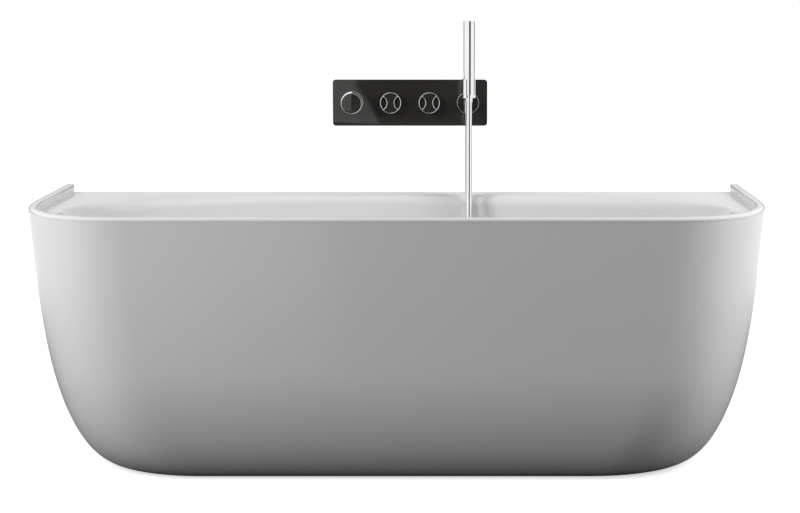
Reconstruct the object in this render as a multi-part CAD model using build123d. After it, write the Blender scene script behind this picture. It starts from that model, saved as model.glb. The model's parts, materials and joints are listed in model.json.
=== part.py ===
"""A back-to-wall freestanding bath with its wall-mounted mixer panel and hand shower.

Millimetres. +X runs along the bath, to the right as the room sees it, +Y goes into the wall and
+Z is up. The origin is on the floor, on the finished wall's line, at the middle of the bath.
"""

import math
import os

from build123d import *

# Bath, outside
BATH_LENGTH = 1700.0
BATH_DEPTH = 750.0
BATH_HEIGHT = 600.0
FLOOR_JOINT = 2.0
END_LEAN = 0.078
END_ROLL = 115.0
END_ROLL_HEIGHT = 423.0
FRONT_LEAN = 0.050
FRONT_ROLL = 89.0
FRONT_ROLL_HEIGHT = 250.0
CORNER_ALONG = 265.0
CORNER_ACROSS = 365.0
CORNER_FULLNESS = 0.64
APRON_WALL = 5.0
ROLL_STEPS = 8
FOOT_FLANGE = 40.0

# Rim, ledge and basin
LIP_EDGE = 8.0
LIP_WIDTH = 20.0
LIP_RISE = 20.0
LIP_ROUND = 4.0
SHELL_WALL = 5.0
BOND_GAP = 0.3
WALL_FLANGE_DROP = 30.0
BASIN_FLOOR = 150.0
BASIN_HALF_LENGTH = 790.0
BASIN_WIDEST = 420.0
BASIN_TO_FRONT = 285.0
BASIN_TO_WALL = 370.0
BASIN_EDGE_ROUND = 28.0
EDGE_START_ANGLE = 20.0
EDGE_STEPS = 4
BASIN_END_LEAN = 0.28
BASIN_END_ROLL = 150.0
BASIN_SIDE_LEAN = 0.07
BASIN_SIDE_ROLL = 80.0
BASIN_ROLL_HEIGHT = 170.0
FRONT_RUN_FULLNESS = 0.78
FRONT_END_FULLNESS = 0.64
BACK_FULLNESS = 0.57

# Base board, rails and feet
BOARD_LENGTH = 940.0
BOARD_WIDTH = 330.0
BOARD_THICKNESS = 18.0
BOARD_CORNER = 60.0
BOARD_HOLE_RADIUS = 45.0
RAIL_SIZE = 30.0
RAIL_WALL = 2.0
LONG_RAIL_LENGTH = 1100.0
LONG_RAIL_SPREAD = 220.0
CROSS_RAIL_X = (-480.0, -160.0, 160.0, 480.0)
CROSS_RAIL_FRONT = -600.0
CROSS_RAIL_BACK = -120.0
FOOT_SETBACK = 30.0
FOOT_SCREW_RADIUS = 5.0
FOOT_SCREW_OVER = 11.0
FOOT_HOLE_CLEARANCE = 0.5
FOOT_NUT_FLATS = 17.0
FOOT_NUT_HEIGHT = 8.0
FOOT_DISC_RADIUS = 20.0
FOOT_DISC_HEIGHT = 4.0
FOOT_PAD_RADIUS = 24.0
FOOT_PAD_HEIGHT = 8.0
THREAD_CLEARANCE = 0.1

# Wall brackets under the rim
BRACKET_X = (-560.0, -220.0, 220.0, 560.0)
BRACKET_WIDTH = 90.0
BRACKET_LEG = 42.0
BRACKET_THICKNESS = 3.0
BRACKET_HOLE_SPACING = 60.0
BRACKET_HOLE_RADIUS = 3.5

# Waste, in the middle of the basin's floor
WASTE_Y = -378.0
WASTE_HOLE_RADIUS = 26.0
WASTE_SLEEVE_RADIUS = 22.0
WASTE_BORE_RADIUS = 19.5
WASTE_SLEEVE_LENGTH = 32.0
WASTE_FLANGE_RADIUS = 35.0
WASTE_FLANGE_HEIGHT = 2.5
STRAINER_RIM = 2.4
STRAINER_HEIGHT = 4.0
STRAINER_SPOKE = 3.0
STRAINER_HUB_RADIUS = 7.0
STRAINER_HUB_HEIGHT = 14.0
PLUG_RADIUS = 31.0
PLUG_RIM = 2.5
PLUG_CROWN = 3.0
PLUG_STEM_RADIUS = 4.0
PLUG_STEM_LENGTH = 44.0
PLUG_SEAL_INNER = 14.0
PLUG_SEAL_HEIGHT = 4.0
SEAT_CLEARANCE = 0.3
SHAFT_CLEARANCE = 0.05
WASTE_SEAL_OUTER = 34.0
WASTE_SEAL_HEIGHT = 5.0
WASTE_COLLAR_RADIUS = 36.0
WASTE_COLLAR_LENGTH = 12.0
WASTE_CHAMBER_RADIUS = 33.0
WASTE_CHAMBER_WALL = 3.0
WASTE_CHAMBER_FLOOR = 60.0
DIP_TUBE_RADIUS = 19.0
DIP_TUBE_WALL = 2.0
DIP_TUBE_END = 26.0
TRAP_RADIUS = 42.0
TRAP_WALL = 3.0
TRAP_BASE = 13.0
TRAP_CAP_RADIUS = 45.0
TRAP_CAP_HEIGHT = 10.0
OUTLET_PIPE_RADIUS = 20.0
OUTLET_PIPE_WALL = 2.3
OUTLET_PIPE_Z = 36.5
OUTLET_SOCKET_LENGTH = 34.0
OUTLET_SOCKET_WALL = 3.0
COUPLER_RADIUS = 24.0
COUPLER_DEPTH = 40.0
COUPLER_LAP = 30.0
COUPLER_STOP = 2.0

# Overflow, which also fills the bath
OVERFLOW_Z = 460.0
OVERFLOW_HOLE_RADIUS = 26.0
OVERFLOW_SEAL_INNER = 27.5
OVERFLOW_SEAL_OUTER = 34.0
OVERFLOW_SEAL_DEPTH = 5.0
OVERFLOW_FLANGE_RADIUS = 36.0
OVERFLOW_FLANGE_DEPTH = 6.0
OVERFLOW_NECK_RADIUS = 24.0
OVERFLOW_NECK_WALL = 2.5
OVERFLOW_BODY_RADIUS = 30.0
OVERFLOW_BODY_BACK = -20.0
OVERFLOW_SPOKE = 4.0
OVERFLOW_HUB_RADIUS = 9.0
OVERFLOW_SHAFT_RADIUS = 5.0
OVERFLOW_KNOB_RADIUS = 33.0
OVERFLOW_KNOB_DEPTH = 14.0
OVERFLOW_KNOB_FLUTES = 12
OVERFLOW_FLUTE_RADIUS = 4.0
OVERFLOW_PIPE_Y = -45.0
OVERFLOW_PIPE_RADIUS = 12.5
OVERFLOW_PIPE_WALL = 1.8
OVERFLOW_PIPE_LOW_Z = 78.0
OVERFLOW_PIPE_BEND = 42.0
OVERFLOW_SOCKET_DEPTH = 14.0
OVERFLOW_SOCKET_WALL = 3.0
CONTROL_CABLE_X = -19.0
CONTROL_CABLE_Y = -50.0
CONTROL_CABLE_Z = 84.0
CONTROL_CABLE_RADIUS = 3.0
CONTROL_CABLE_BEND = 60.0

# Mixer panel: four square modules side by side
MODULE = 97.0
MODULES = 4
PANEL_X = 20.6
PANEL_Z = 805.5
PANEL_HEIGHT = 116.0
PANEL_CORNER = 8.0
PANEL_EDGE_ROUND = 1.0
GLASS_THICKNESS = 6.0
PANEL_HOLE_RADIUS = 22.0
BACKING_THICKNESS = 4.0
BACKING_MARGIN = 6.0
BACKING_HOLE_RADIUS = 23.0

# Box and valve set in the wall
BOX_MARGIN = 14.0
BOX_SIDE_MARGIN = 8.0
BOX_DEPTH = 68.0
BOX_WALL = 3.0
BOX_FIXING_X = 300.0
BOX_FIXING_Z = 70.0
BOX_FIXING_RADIUS = 2.75
SUPPLY_HOLE_RADIUS = 17.0
VALVE_Y = 34.0
VALVE_BAR_RADIUS = 17.0
VALVE_BAR_OVER = 20.0
VALVE_STUB_RADIUS = 21.0
VALVE_STUB_FACE = 3.0
VALVE_LUG_WIDTH = 20.0
VALVE_LUG_HEIGHT = 24.0
VALVE_LUG_X = 49.0
CARTRIDGE_RADIUS = 14.8
CARTRIDGE_BORE_RADIUS = 14.9
CARTRIDGE_LENGTH = 24.0
CARTRIDGE_HEAD_RADIUS = 19.0
CARTRIDGE_HEAD_DEPTH = 4.0
SPINDLE_RADIUS = 4.0
SPINDLE_LENGTH = 34.0
SUPPLY_RADIUS = 14.0
SUPPLY_THREAD_RADIUS = 9.3
SUPPLY_THREAD_LENGTH = 15.0
SUPPLY_DROP = 42.0

# Pipe from the valve to the overflow filler
FILL_PIPE_X = 167.3
FILL_PIPE_Y = 30.0
FILL_PIPE_RADIUS = 7.5
FILL_PIPE_WALL = 1.0
FILL_PIPE_BEND = 17.0
FILL_PIPE_RUN_Z = 525.0
FILL_STUB_RADIUS = 12.0
FILL_NUT_FLATS = 24.0
FILL_NUT_HEIGHT = 12.0
FILLER_TOP = 497.0

# Knobs
KNOB_RUNNING_GAP = 0.5
BASE_RING_RADIUS = 28.0
BASE_RING_INNER = 20.0
BASE_RING_DEPTH = 3.0
TEMPERATURE_RADIUS = 25.5
TEMPERATURE_LENGTH = 38.0
TEMPERATURE_RIM = 1.1
TEMPERATURE_CAP_DEPTH = 1.5
VALVE_KNOB_RADIUS = 26.3
VALVE_KNOB_DEPTH = 10.0
VALVE_KNOB_RIM = 1.8
FACE_DEPTH = 1.5
SCOOP_RADIUS = 19.0
SCOOP_CENTRE = 28.2
SCOOP_WALL = 1.4
SCOOP_DEPTH = 6.5
SCOOP_FLOOR = 0.8
INLAY_GAP = 0.1
BORE_DEPTH = 8.0

# Outlet rosette, holder and hand shower
ROSETTE_RADIUS = 27.3
ROSETTE_RIM = 0.9
ROSETTE_DEPTH = 3.0
OUTLET_BOSS_RADIUS = 11.0
OUTLET_Y = -45.0
OUTLET_RADIUS = 9.0
OUTLET_BOTTOM = 796.0
OUTLET_BORE_RADIUS = 6.0
OUTLET_TAIL_RADIUS = 9.8
HANDSET_X = 168.4
HANDSET_Y = -78.0
HANDSET_RADIUS = 13.7
HANDSET_BOTTOM = 829.3
HANDSET_TOP = 1010.7
HANDSET_WALL = 2.0
HANDSET_EDGE = 0.8
HOLDER_GAP = 0.3
HOLDER_WALL = 3.2
HOLDER_TOP = 868.0
HOLDER_SHELF = 8.0
HOLDER_SHELF_RADIUS = 11.0
HOLDER_LIP_ANGLE = -25.0
HOLDER_OPENING = 140.0
HOLDER_ARM_RADIUS = 6.0
SPRAY_WIDTH = 14.0
SPRAY_LENGTH = 62.0
SPRAY_FROM_TOP = 8.0
SPRAY_THICKNESS = 1.6
NOZZLE_ROWS = 11
NOZZLE_COLUMNS = 2
NOZZLE_RADIUS = 0.9
NOZZLE_HEIGHT = 1.0
NOZZLE_PITCH = 5.0
INLET_RADIUS = 8.6
INLET_BORE_RADIUS = 5.0
INLET_LENGTH = 28.0
NUT_TOP_RADIUS = 10.1
NUT_BOTTOM_RADIUS = 8.6
NUT_LENGTH = 18.0
HOSE_RADIUS = 7.5

# The hose hangs from the hand shower into the basin and up again to the outlet. Its two ends
# start under the nuts; the points between were chosen by hand.
HOSE_POINTS = [
    (168.3, -78.8, 764.0),
    (168.1, -86.0, 700.0),
    (167.9, -103.0, 625.0),
    (167.7, -124.0, 545.0),
    (167.5, -155.0, 471.0),
    (167.3, -193.0, 408.0),
    (167.1, -227.0, 357.0),
    (166.9, -248.0, 309.0),
    (166.7, -251.0, 268.0),
    (166.6, -235.0, 236.0),
    (166.5, -205.0, 219.0),
    (166.4, -171.0, 219.0),
    (166.3, -141.0, 238.0),
    (166.3, -124.0, 270.0),
    (166.3, -119.0, 314.0),
    (166.3, -117.0, 365.0),
    (166.2, -113.0, 422.0),
    (166.2, -108.0, 482.0),
    (166.2, -100.0, 540.0),
    (166.2, -89.0, 594.0),
    (166.1, -71.0, 654.0),
    (166.1, -55.0, 705.0),
    (166.1, -45.8, 742.0),
]

# Worked out from the sizes above
APRON_TOP = BATH_HEIGHT - LIP_EDGE
LEDGE = BATH_HEIGHT - LIP_RISE
LEDGE_UNDERSIDE = LEDGE - SHELL_WALL
EDGE_BASE = LEDGE - BASIN_EDGE_ROUND * math.cos(math.radians(EDGE_START_ANGLE))
BASIN_UNDERSIDE = BASIN_FLOOR - SHELL_WALL
BOARD_UNDERSIDE = BASIN_UNDERSIDE - BOARD_THICKNESS
LONG_RAIL_BOTTOM = BOARD_UNDERSIDE - RAIL_SIZE
CROSS_RAIL_BOTTOM = LONG_RAIL_BOTTOM - RAIL_SIZE
FOOT_Y = (CROSS_RAIL_FRONT + FOOT_SETBACK, CROSS_RAIL_BACK - FOOT_SETBACK)
MODULE_X = [PANEL_X + MODULE * (k - (MODULES - 1) / 2) for k in range(MODULES)]
TEMPERATURE_X, BATH_X, SHOWER_X, OUTLET_X = MODULE_X
PANEL_FACE = -(BACKING_THICKNESS + GLASS_THICKNESS)
VALVE_BOTTOM = PANEL_Z - SUPPLY_DROP
BOX_BOTTOM = PANEL_Z - PANEL_HEIGHT / 2 + BOX_SIDE_MARGIN
BOX_TOP = PANEL_Z + PANEL_HEIGHT / 2 - BOX_SIDE_MARGIN
PANEL_HALF = MODULES * MODULE / 2
KNOB_BACK = PANEL_FACE - BASE_RING_DEPTH - KNOB_RUNNING_GAP
VALVE_KNOB_FRONT = KNOB_BACK - VALVE_KNOB_DEPTH
OVERFLOW_PIPE_TOP = OVERFLOW_Z - OVERFLOW_BODY_RADIUS
OVERFLOW_SOCKET_END = OVERFLOW_PIPE_TOP - OVERFLOW_SOCKET_DEPTH


def cylinder(radius, start, end):
    """A round bar between two points."""
    start, end = Vector(*start), Vector(*end)
    return extrude(Plane(start, z_dir=end - start) * Circle(radius), (end - start).length)


def tube(outer, inner, start, end):
    """A round tube between two points."""
    return cylinder(outer, start, end) - cylinder(inner, start, end)


def cone(first_radius, second_radius, start, end):
    """A tapered round bar that stands on its lower end."""
    height = end[2] - start[2]
    solid = Cone(first_radius, second_radius, height, align=(Align.CENTER, Align.CENTER, Align.MIN))
    return Pos(*start) * solid


def block(x, y, z):
    """A box from three (low, high) pairs."""
    low_corner = Pos(x[0], y[0], z[0])
    low = (Align.MIN, Align.MIN, Align.MIN)
    return low_corner * Box(x[1] - x[0], y[1] - y[0], z[1] - z[0], align=low)


def hexagon(flats, centre, height):
    """A hexagonal prism that stands on its centre point."""
    outline = RegularPolygon(flats / 2, 6, major_radius=False)
    return Pos(*centre) * extrude(outline, height)


def group(solids):
    """Several solids of one node, kept apart."""
    return Compound(children=[s for item in solids for s in item.solids()])


def drawn_in(z, top, base, lean, roll, roll_height, inward):
    """How far a wall stands in at height z: a steady lean, then a quarter ellipse to the base.

    inward moves the face that much further in, square to itself; it is negative outwards."""
    below = (base + roll_height - z) / (roll_height - inward)
    below = min(1.0, max(0.0, below))
    return inward + lean * (top - z) + (roll - inward) * (1 - math.sqrt(1 - below**2))


def roll_heights(low, height, above=0.0):
    """Section heights round a roll, at even angles, from its base (or a little above) to its top."""
    start = math.acos(1 - above / height)
    step = (math.pi / 2 - start) / ROLL_STEPS
    return [low + height * (1 - math.cos(start + step * k)) for k in range(ROLL_STEPS + 1)]


def stacked(section, bands):
    """A solid lofted band by band from its plan at each height; a band of two heights is ruled."""
    solid = None
    for levels in bands:
        piece = loft([section(z) for z in levels], ruled=len(levels) == 2)
        solid = piece if solid is None else solid + piece
    return solid


def bath_outline(z, half_length, reach, along, across, back=0.0):
    """The D of the bath in plan: straight at the wall and down both sides, round in front."""
    side_end = across - reach
    front_end = half_length - along
    along_pull = front_end + CORNER_FULLNESS * along
    across_pull = side_end - CORNER_FULLNESS * across
    right = Bezier((half_length, side_end), (half_length, across_pull), (along_pull, -reach),
                   (front_end, -reach))
    left = Bezier((-front_end, -reach), (-along_pull, -reach), (-half_length, across_pull),
                  (-half_length, side_end))
    edges = [
        Line((-half_length, back), (half_length, back)),
        Line((half_length, back), (half_length, side_end)),
        right,
        Line((front_end, -reach), (-front_end, -reach)),
        left,
        Line((-half_length, side_end), (-half_length, back)),
    ]
    return Pos(0, 0, z) * Face(Wire(edges))


def rim_outline(z, inset, back=0.0):
    """The bath's plan at the rim, drawn in evenly by an inset."""
    return bath_outline(z, BATH_LENGTH / 2 - inset, BATH_DEPTH - inset, CORNER_ALONG - inset,
                        CORNER_ACROSS - inset, back)


def apron_section(z, inward, back):
    """The apron's plan at height z."""
    ends = drawn_in(z, BATH_HEIGHT, 0, END_LEAN, END_ROLL, END_ROLL_HEIGHT, inward)
    front = drawn_in(z, BATH_HEIGHT, 0, FRONT_LEAN, FRONT_ROLL, FRONT_ROLL_HEIGHT, inward)
    return bath_outline(z, BATH_LENGTH / 2 - ends, BATH_DEPTH - front, CORNER_ALONG - inward,
                        CORNER_ACROSS - inward, back)


def apron_bands(low, high):
    """The apron's section heights: both rolls, then the ends' roll alone, then straight."""
    middle = [FRONT_ROLL_HEIGHT + (END_ROLL_HEIGHT - FRONT_ROLL_HEIGHT) * k / 3 for k in (1, 2, 3)]
    return [[*roll_heights(0, FRONT_ROLL_HEIGHT, low), *middle], [END_ROLL_HEIGHT, high]]


def outer_panel():
    """The bath's outer shell, open to the wall, with a narrow flange turned in at the floor."""
    outside = stacked(lambda z: apron_section(z, 0, 0), apron_bands(FLOOR_JOINT, APRON_TOP))
    flange_top = FLOOR_JOINT + APRON_WALL
    over = APRON_TOP + APRON_WALL
    inside = stacked(lambda z: apron_section(z, APRON_WALL, APRON_WALL), apron_bands(flange_top, over))
    foot = apron_section(flange_top, FOOT_FLANGE, APRON_WALL)
    opening = extrude(foot, 2 * APRON_WALL, dir=(0, 0, -1), both=True)
    return outside - inside - opening


def basin_outline(z, half_length, to_front, to_wall):
    """The basin in plan: a plain arc towards the wall, fuller towards the room."""
    front = -BASIN_WIDEST - to_front
    back = -BASIN_WIDEST + to_wall
    run_pull = FRONT_RUN_FULLNESS * half_length
    end_pull = -BASIN_WIDEST - FRONT_END_FULLNESS * to_front
    back_run = BACK_FULLNESS * half_length
    back_end = -BASIN_WIDEST + BACK_FULLNESS * to_wall
    edges = [
        Bezier((0, front), (run_pull, front), (half_length, end_pull), (half_length, -BASIN_WIDEST)),
        Bezier((half_length, -BASIN_WIDEST), (half_length, back_end), (back_run, back), (0, back)),
        Bezier((0, back), (-back_run, back), (-half_length, back_end), (-half_length, -BASIN_WIDEST)),
        Bezier((-half_length, -BASIN_WIDEST), (-half_length, end_pull), (-run_pull, front), (0, front)),
    ]
    return Pos(0, 0, z) * Face(Wire(edges))


def basin_wall_inset(z, lean, roll, inward):
    """How far a basin wall stands in from the ledge's edge at height z, below the rounded edge."""
    low = BASIN_ROLL_HEIGHT
    return BASIN_EDGE_ROUND + drawn_in(z, EDGE_BASE, BASIN_FLOOR, lean, roll, low, inward)


def basin_section(z, inward=0.0):
    """The basin's plan at height z, below the rounded edge."""
    ends = basin_wall_inset(z, BASIN_END_LEAN, BASIN_END_ROLL, inward)
    sides = basin_wall_inset(z, BASIN_SIDE_LEAN, BASIN_SIDE_ROLL, inward)
    return basin_outline(z, BASIN_HALF_LENGTH - ends, BASIN_TO_FRONT - sides, BASIN_TO_WALL - sides)


def edge_section(angle, radius):
    """The basin's plan where its rounded edge has turned by an angle from the ledge."""
    inset = radius * math.sin(math.radians(angle))
    z = EDGE_BASE + radius * math.cos(math.radians(angle))
    return basin_outline(z, BASIN_HALF_LENGTH - inset, BASIN_TO_FRONT - inset, BASIN_TO_WALL - inset)


def rounded_edge(radius):
    """The basin's rounded edge as a solid plug, from the top of its walls to the ledge."""
    step = (90 - EDGE_START_ANGLE) / EDGE_STEPS
    return loft([edge_section(90 - step * k, radius) for k in range(EDGE_STEPS + 1)])


def basin_hollow():
    """The space inside the basin, with the rounded edge that leads up to the ledge."""
    body = stacked(basin_section, [roll_heights(BASIN_FLOOR, BASIN_ROLL_HEIGHT),
                                   [BASIN_FLOOR + BASIN_ROLL_HEIGHT, EDGE_BASE]])
    over = extrude(edge_section(EDGE_START_ANGLE, BASIN_EDGE_ROUND), LIP_RISE, dir=(0, 0, 1))
    return body + rounded_edge(BASIN_EDGE_ROUND) + over


def basin_block():
    """The basin's outside, solid, up to the underside of the rim."""
    roll_top = BASIN_FLOOR + BASIN_ROLL_HEIGHT
    body = stacked(lambda z: basin_section(z, -SHELL_WALL),
                   [roll_heights(BASIN_UNDERSIDE, roll_top - BASIN_UNDERSIDE), [roll_top, EDGE_BASE]])
    return body + rounded_edge(BASIN_EDGE_ROUND - SHELL_WALL)


def back_wall(z, outside=False):
    """Where the basin's back wall stands at height z, at the middle of the bath."""
    inward = -SHELL_WALL if outside else 0.0
    inset = basin_wall_inset(z, BASIN_SIDE_LEAN, BASIN_SIDE_ROLL, inward)
    return -BASIN_WIDEST + BASIN_TO_WALL - inset


def lip():
    """The raised edge on the two ends and the front, with its upper edges rounded."""
    slab = extrude(rim_outline(APRON_TOP, 0), LIP_EDGE, dir=(0, 0, 1))
    recess = extrude(rim_outline(APRON_TOP, LIP_WIDTH, LIP_WIDTH), LIP_EDGE, dir=(0, 0, 1))
    ring = slab - recess
    upper = [e for e in ring.edges() if e.center().Z > BATH_HEIGHT - 1e-3 and e.center().Y < -1e-3]
    return fillet(upper, LIP_ROUND)


def basin_shell():
    """The inner shell in one piece: lip, ledge, basin and the flange that turns down at the wall."""
    flange_bottom = LEDGE - WALL_FLANGE_DROP
    inside_apron = APRON_WALL + END_LEAN * (BATH_HEIGHT - flange_bottom) + BOND_GAP
    core = extrude(rim_outline(LEDGE_UNDERSIDE, inside_apron), APRON_TOP - LEDGE_UNDERSIDE,
                   dir=(0, 0, 1))
    core -= extrude(rim_outline(LEDGE, LIP_WIDTH, LIP_WIDTH), LIP_RISE, dir=(0, 0, 1))
    half = BATH_LENGTH / 2 - inside_apron
    flange = block((-half, half), (-SHELL_WALL, 0), (flange_bottom, LEDGE_UNDERSIDE))
    shell = core + flange + basin_block() + lip() - basin_hollow()
    shell -= cylinder(WASTE_HOLE_RADIUS, (0, WASTE_Y, BASIN_UNDERSIDE - 1), (0, WASTE_Y, BASIN_FLOOR + 1))
    middle = back_wall(OVERFLOW_Z)
    reach = 4 * SHELL_WALL
    return shell - cylinder(OVERFLOW_HOLE_RADIUS, (0, middle - reach, OVERFLOW_Z),
                            (0, middle + reach, OVERFLOW_Z))


def base_board():
    """The board bonded under the basin's floor."""
    outline = RectangleRounded(BOARD_LENGTH, BOARD_WIDTH, BOARD_CORNER)
    board = extrude(Pos(0, WASTE_Y, BOARD_UNDERSIDE) * outline, BOARD_THICKNESS)
    top = BASIN_UNDERSIDE + 1
    return board - cylinder(BOARD_HOLE_RADIUS, (0, WASTE_Y, BOARD_UNDERSIDE - 1), (0, WASTE_Y, top))


def square_tube(start, end):
    """A length of square steel tube, start and end being the middles of its two ends."""
    start, end = Vector(*start), Vector(*end)
    wall = Rectangle(RAIL_SIZE, RAIL_SIZE) - Rectangle(RAIL_SIZE - 2 * RAIL_WALL, RAIL_SIZE - 2 * RAIL_WALL)
    return extrude(Plane(start, x_dir=(0, 0, 1), z_dir=end - start) * wall, (end - start).length)


def long_rails():
    """Two rails along the bath, under the board."""
    z = LONG_RAIL_BOTTOM + RAIL_SIZE / 2
    half = LONG_RAIL_LENGTH / 2
    sides = [WASTE_Y + side * LONG_RAIL_SPREAD / 2 for side in (-1, 1)]
    return group([square_tube((-half, y, z), (half, y, z)) for y in sides])


def foot_places():
    """The eight feet, two on each cross rail."""
    return [(x, y) for x in CROSS_RAIL_X for y in FOOT_Y]


def cross_rails():
    """The rails across the bath, drilled for the feet."""
    z = CROSS_RAIL_BOTTOM + RAIL_SIZE / 2
    hole = FOOT_SCREW_RADIUS + FOOT_HOLE_CLEARANCE
    rails = []
    for x in CROSS_RAIL_X:
        rail = square_tube((x, CROSS_RAIL_FRONT, z), (x, CROSS_RAIL_BACK, z))
        for y in FOOT_Y:
            rail -= cylinder(hole, (x, y, CROSS_RAIL_BOTTOM - 1), (x, y, LONG_RAIL_BOTTOM + 1))
        rails.append(rail)
    return group(rails)


def foot_screws():
    """A threaded bar on a round steel foot, for each foot."""
    disc_top = FOOT_PAD_HEIGHT + FOOT_DISC_HEIGHT
    top = LONG_RAIL_BOTTOM + FOOT_SCREW_OVER
    return group([
        cylinder(FOOT_DISC_RADIUS, (x, y, FOOT_PAD_HEIGHT), (x, y, disc_top))
        + cylinder(FOOT_SCREW_RADIUS, (x, y, disc_top), (x, y, top))
        for x, y in foot_places()
    ])


def foot_nuts():
    """Two nuts for each foot, that clamp the cross rail between them."""
    nuts = []
    hole = FOOT_SCREW_RADIUS + THREAD_CLEARANCE
    for x, y in foot_places():
        for z in (CROSS_RAIL_BOTTOM - FOOT_NUT_HEIGHT, LONG_RAIL_BOTTOM):
            nut = hexagon(FOOT_NUT_FLATS, (x, y, z), FOOT_NUT_HEIGHT)
            nuts.append(nut - cylinder(hole, (x, y, z - 1), (x, y, z + FOOT_NUT_HEIGHT + 1)))
    return group(nuts)


def foot_pads():
    """A rubber pad under each foot."""
    return group([cylinder(FOOT_PAD_RADIUS, (x, y, 0), (x, y, FOOT_PAD_HEIGHT)) for x, y in foot_places()])


def wall_brackets():
    """Angles screwed to the wall, on which the shell's wall flange rests."""
    top = LEDGE - WALL_FLANGE_DROP
    brackets = []
    for x in BRACKET_X:
        sides = (x - BRACKET_WIDTH / 2, x + BRACKET_WIDTH / 2)
        angle = block(sides, (-BRACKET_THICKNESS, 0), (top - BRACKET_LEG, top))
        angle += block(sides, (-BRACKET_LEG, 0), (top - BRACKET_THICKNESS, top))
        for side in (-1, 1):
            hole_x = x + side * BRACKET_HOLE_SPACING / 2
            z = top - BRACKET_LEG / 2
            angle -= cylinder(BRACKET_HOLE_RADIUS, (hole_x, -BRACKET_THICKNESS - 1, z), (hole_x, 1, z))
        brackets.append(angle)
    return group(brackets)


def waste_flange():
    """The chrome dish in the basin's floor, with its sleeve through the hole."""
    top = BASIN_FLOOR + WASTE_FLANGE_HEIGHT
    low = BASIN_FLOOR - WASTE_SLEEVE_LENGTH
    dish = cone(WASTE_FLANGE_RADIUS, WASTE_FLANGE_RADIUS - WASTE_FLANGE_HEIGHT,
                (0, WASTE_Y, BASIN_FLOOR), (0, WASTE_Y, top))
    sleeve = cylinder(WASTE_SLEEVE_RADIUS, (0, WASTE_Y, low), (0, WASTE_Y, BASIN_FLOOR))
    return dish + sleeve - cylinder(WASTE_BORE_RADIUS, (0, WASTE_Y, low - 1), (0, WASTE_Y, top + 1))


def spider(radius, rim, hub, bore, spoke, start, depth, hub_depth):
    """A ring and a bored hub joined by three spokes, built along the axis of a plane."""
    wheel = Circle(radius) - Circle(radius - rim) + Circle(hub)
    reach = radius - rim / 2
    for k in range(3):
        wheel += Rot(0, 0, 90 + 120 * k) * Pos(reach / 2, 0) * Rectangle(reach, spoke)
    solid = extrude(start * wheel, depth) + extrude(start * Circle(hub), hub_depth)
    return solid - extrude(start * Circle(bore), 2 * hub_depth, both=True)


def waste_strainer():
    """The cross in the sleeve that catches hair and guides the plug's stem."""
    low = BASIN_FLOOR - WASTE_SLEEVE_LENGTH + STRAINER_HEIGHT
    return spider(WASTE_BORE_RADIUS - INLAY_GAP, STRAINER_RIM, STRAINER_HUB_RADIUS,
                  PLUG_STEM_RADIUS + SHAFT_CLEARANCE, STRAINER_SPOKE, Plane((0, WASTE_Y, low)),
                  STRAINER_HEIGHT, STRAINER_HUB_HEIGHT)


def waste_plug():
    """The domed cover, shut down on the flange."""
    low = BASIN_FLOOR + WASTE_FLANGE_HEIGHT + SEAT_CLEARANCE
    rim = cylinder(PLUG_RADIUS, (0, WASTE_Y, low), (0, WASTE_Y, low + PLUG_RIM))
    crown = cone(PLUG_RADIUS, PLUG_RADIUS * 0.6, (0, WASTE_Y, low + PLUG_RIM),
                 (0, WASTE_Y, low + PLUG_RIM + PLUG_CROWN))
    return rim + crown


def plug_stem():
    """The stem under the cover, down through the strainer's hub."""
    top = BASIN_FLOOR + WASTE_FLANGE_HEIGHT + SEAT_CLEARANCE
    return cylinder(PLUG_STEM_RADIUS, (0, WASTE_Y, top - PLUG_STEM_LENGTH), (0, WASTE_Y, top))


def plug_seal():
    """The rubber ring that closes the flange's bore, on a collar under the cover."""
    top = BASIN_FLOOR + WASTE_FLANGE_HEIGHT + SEAT_CLEARANCE
    low = top - PLUG_SEAL_HEIGHT
    return tube(WASTE_BORE_RADIUS - SEAT_CLEARANCE, PLUG_STEM_RADIUS, (0, WASTE_Y, low), (0, WASTE_Y, top))


def waste_seal():
    """The rubber ring between the basin's floor and the waste body."""
    return tube(WASTE_SEAL_OUTER, WASTE_SLEEVE_RADIUS + SEAT_CLEARANCE,
                (0, WASTE_Y, BASIN_UNDERSIDE - WASTE_SEAL_HEIGHT), (0, WASTE_Y, BASIN_UNDERSIDE))


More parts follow.
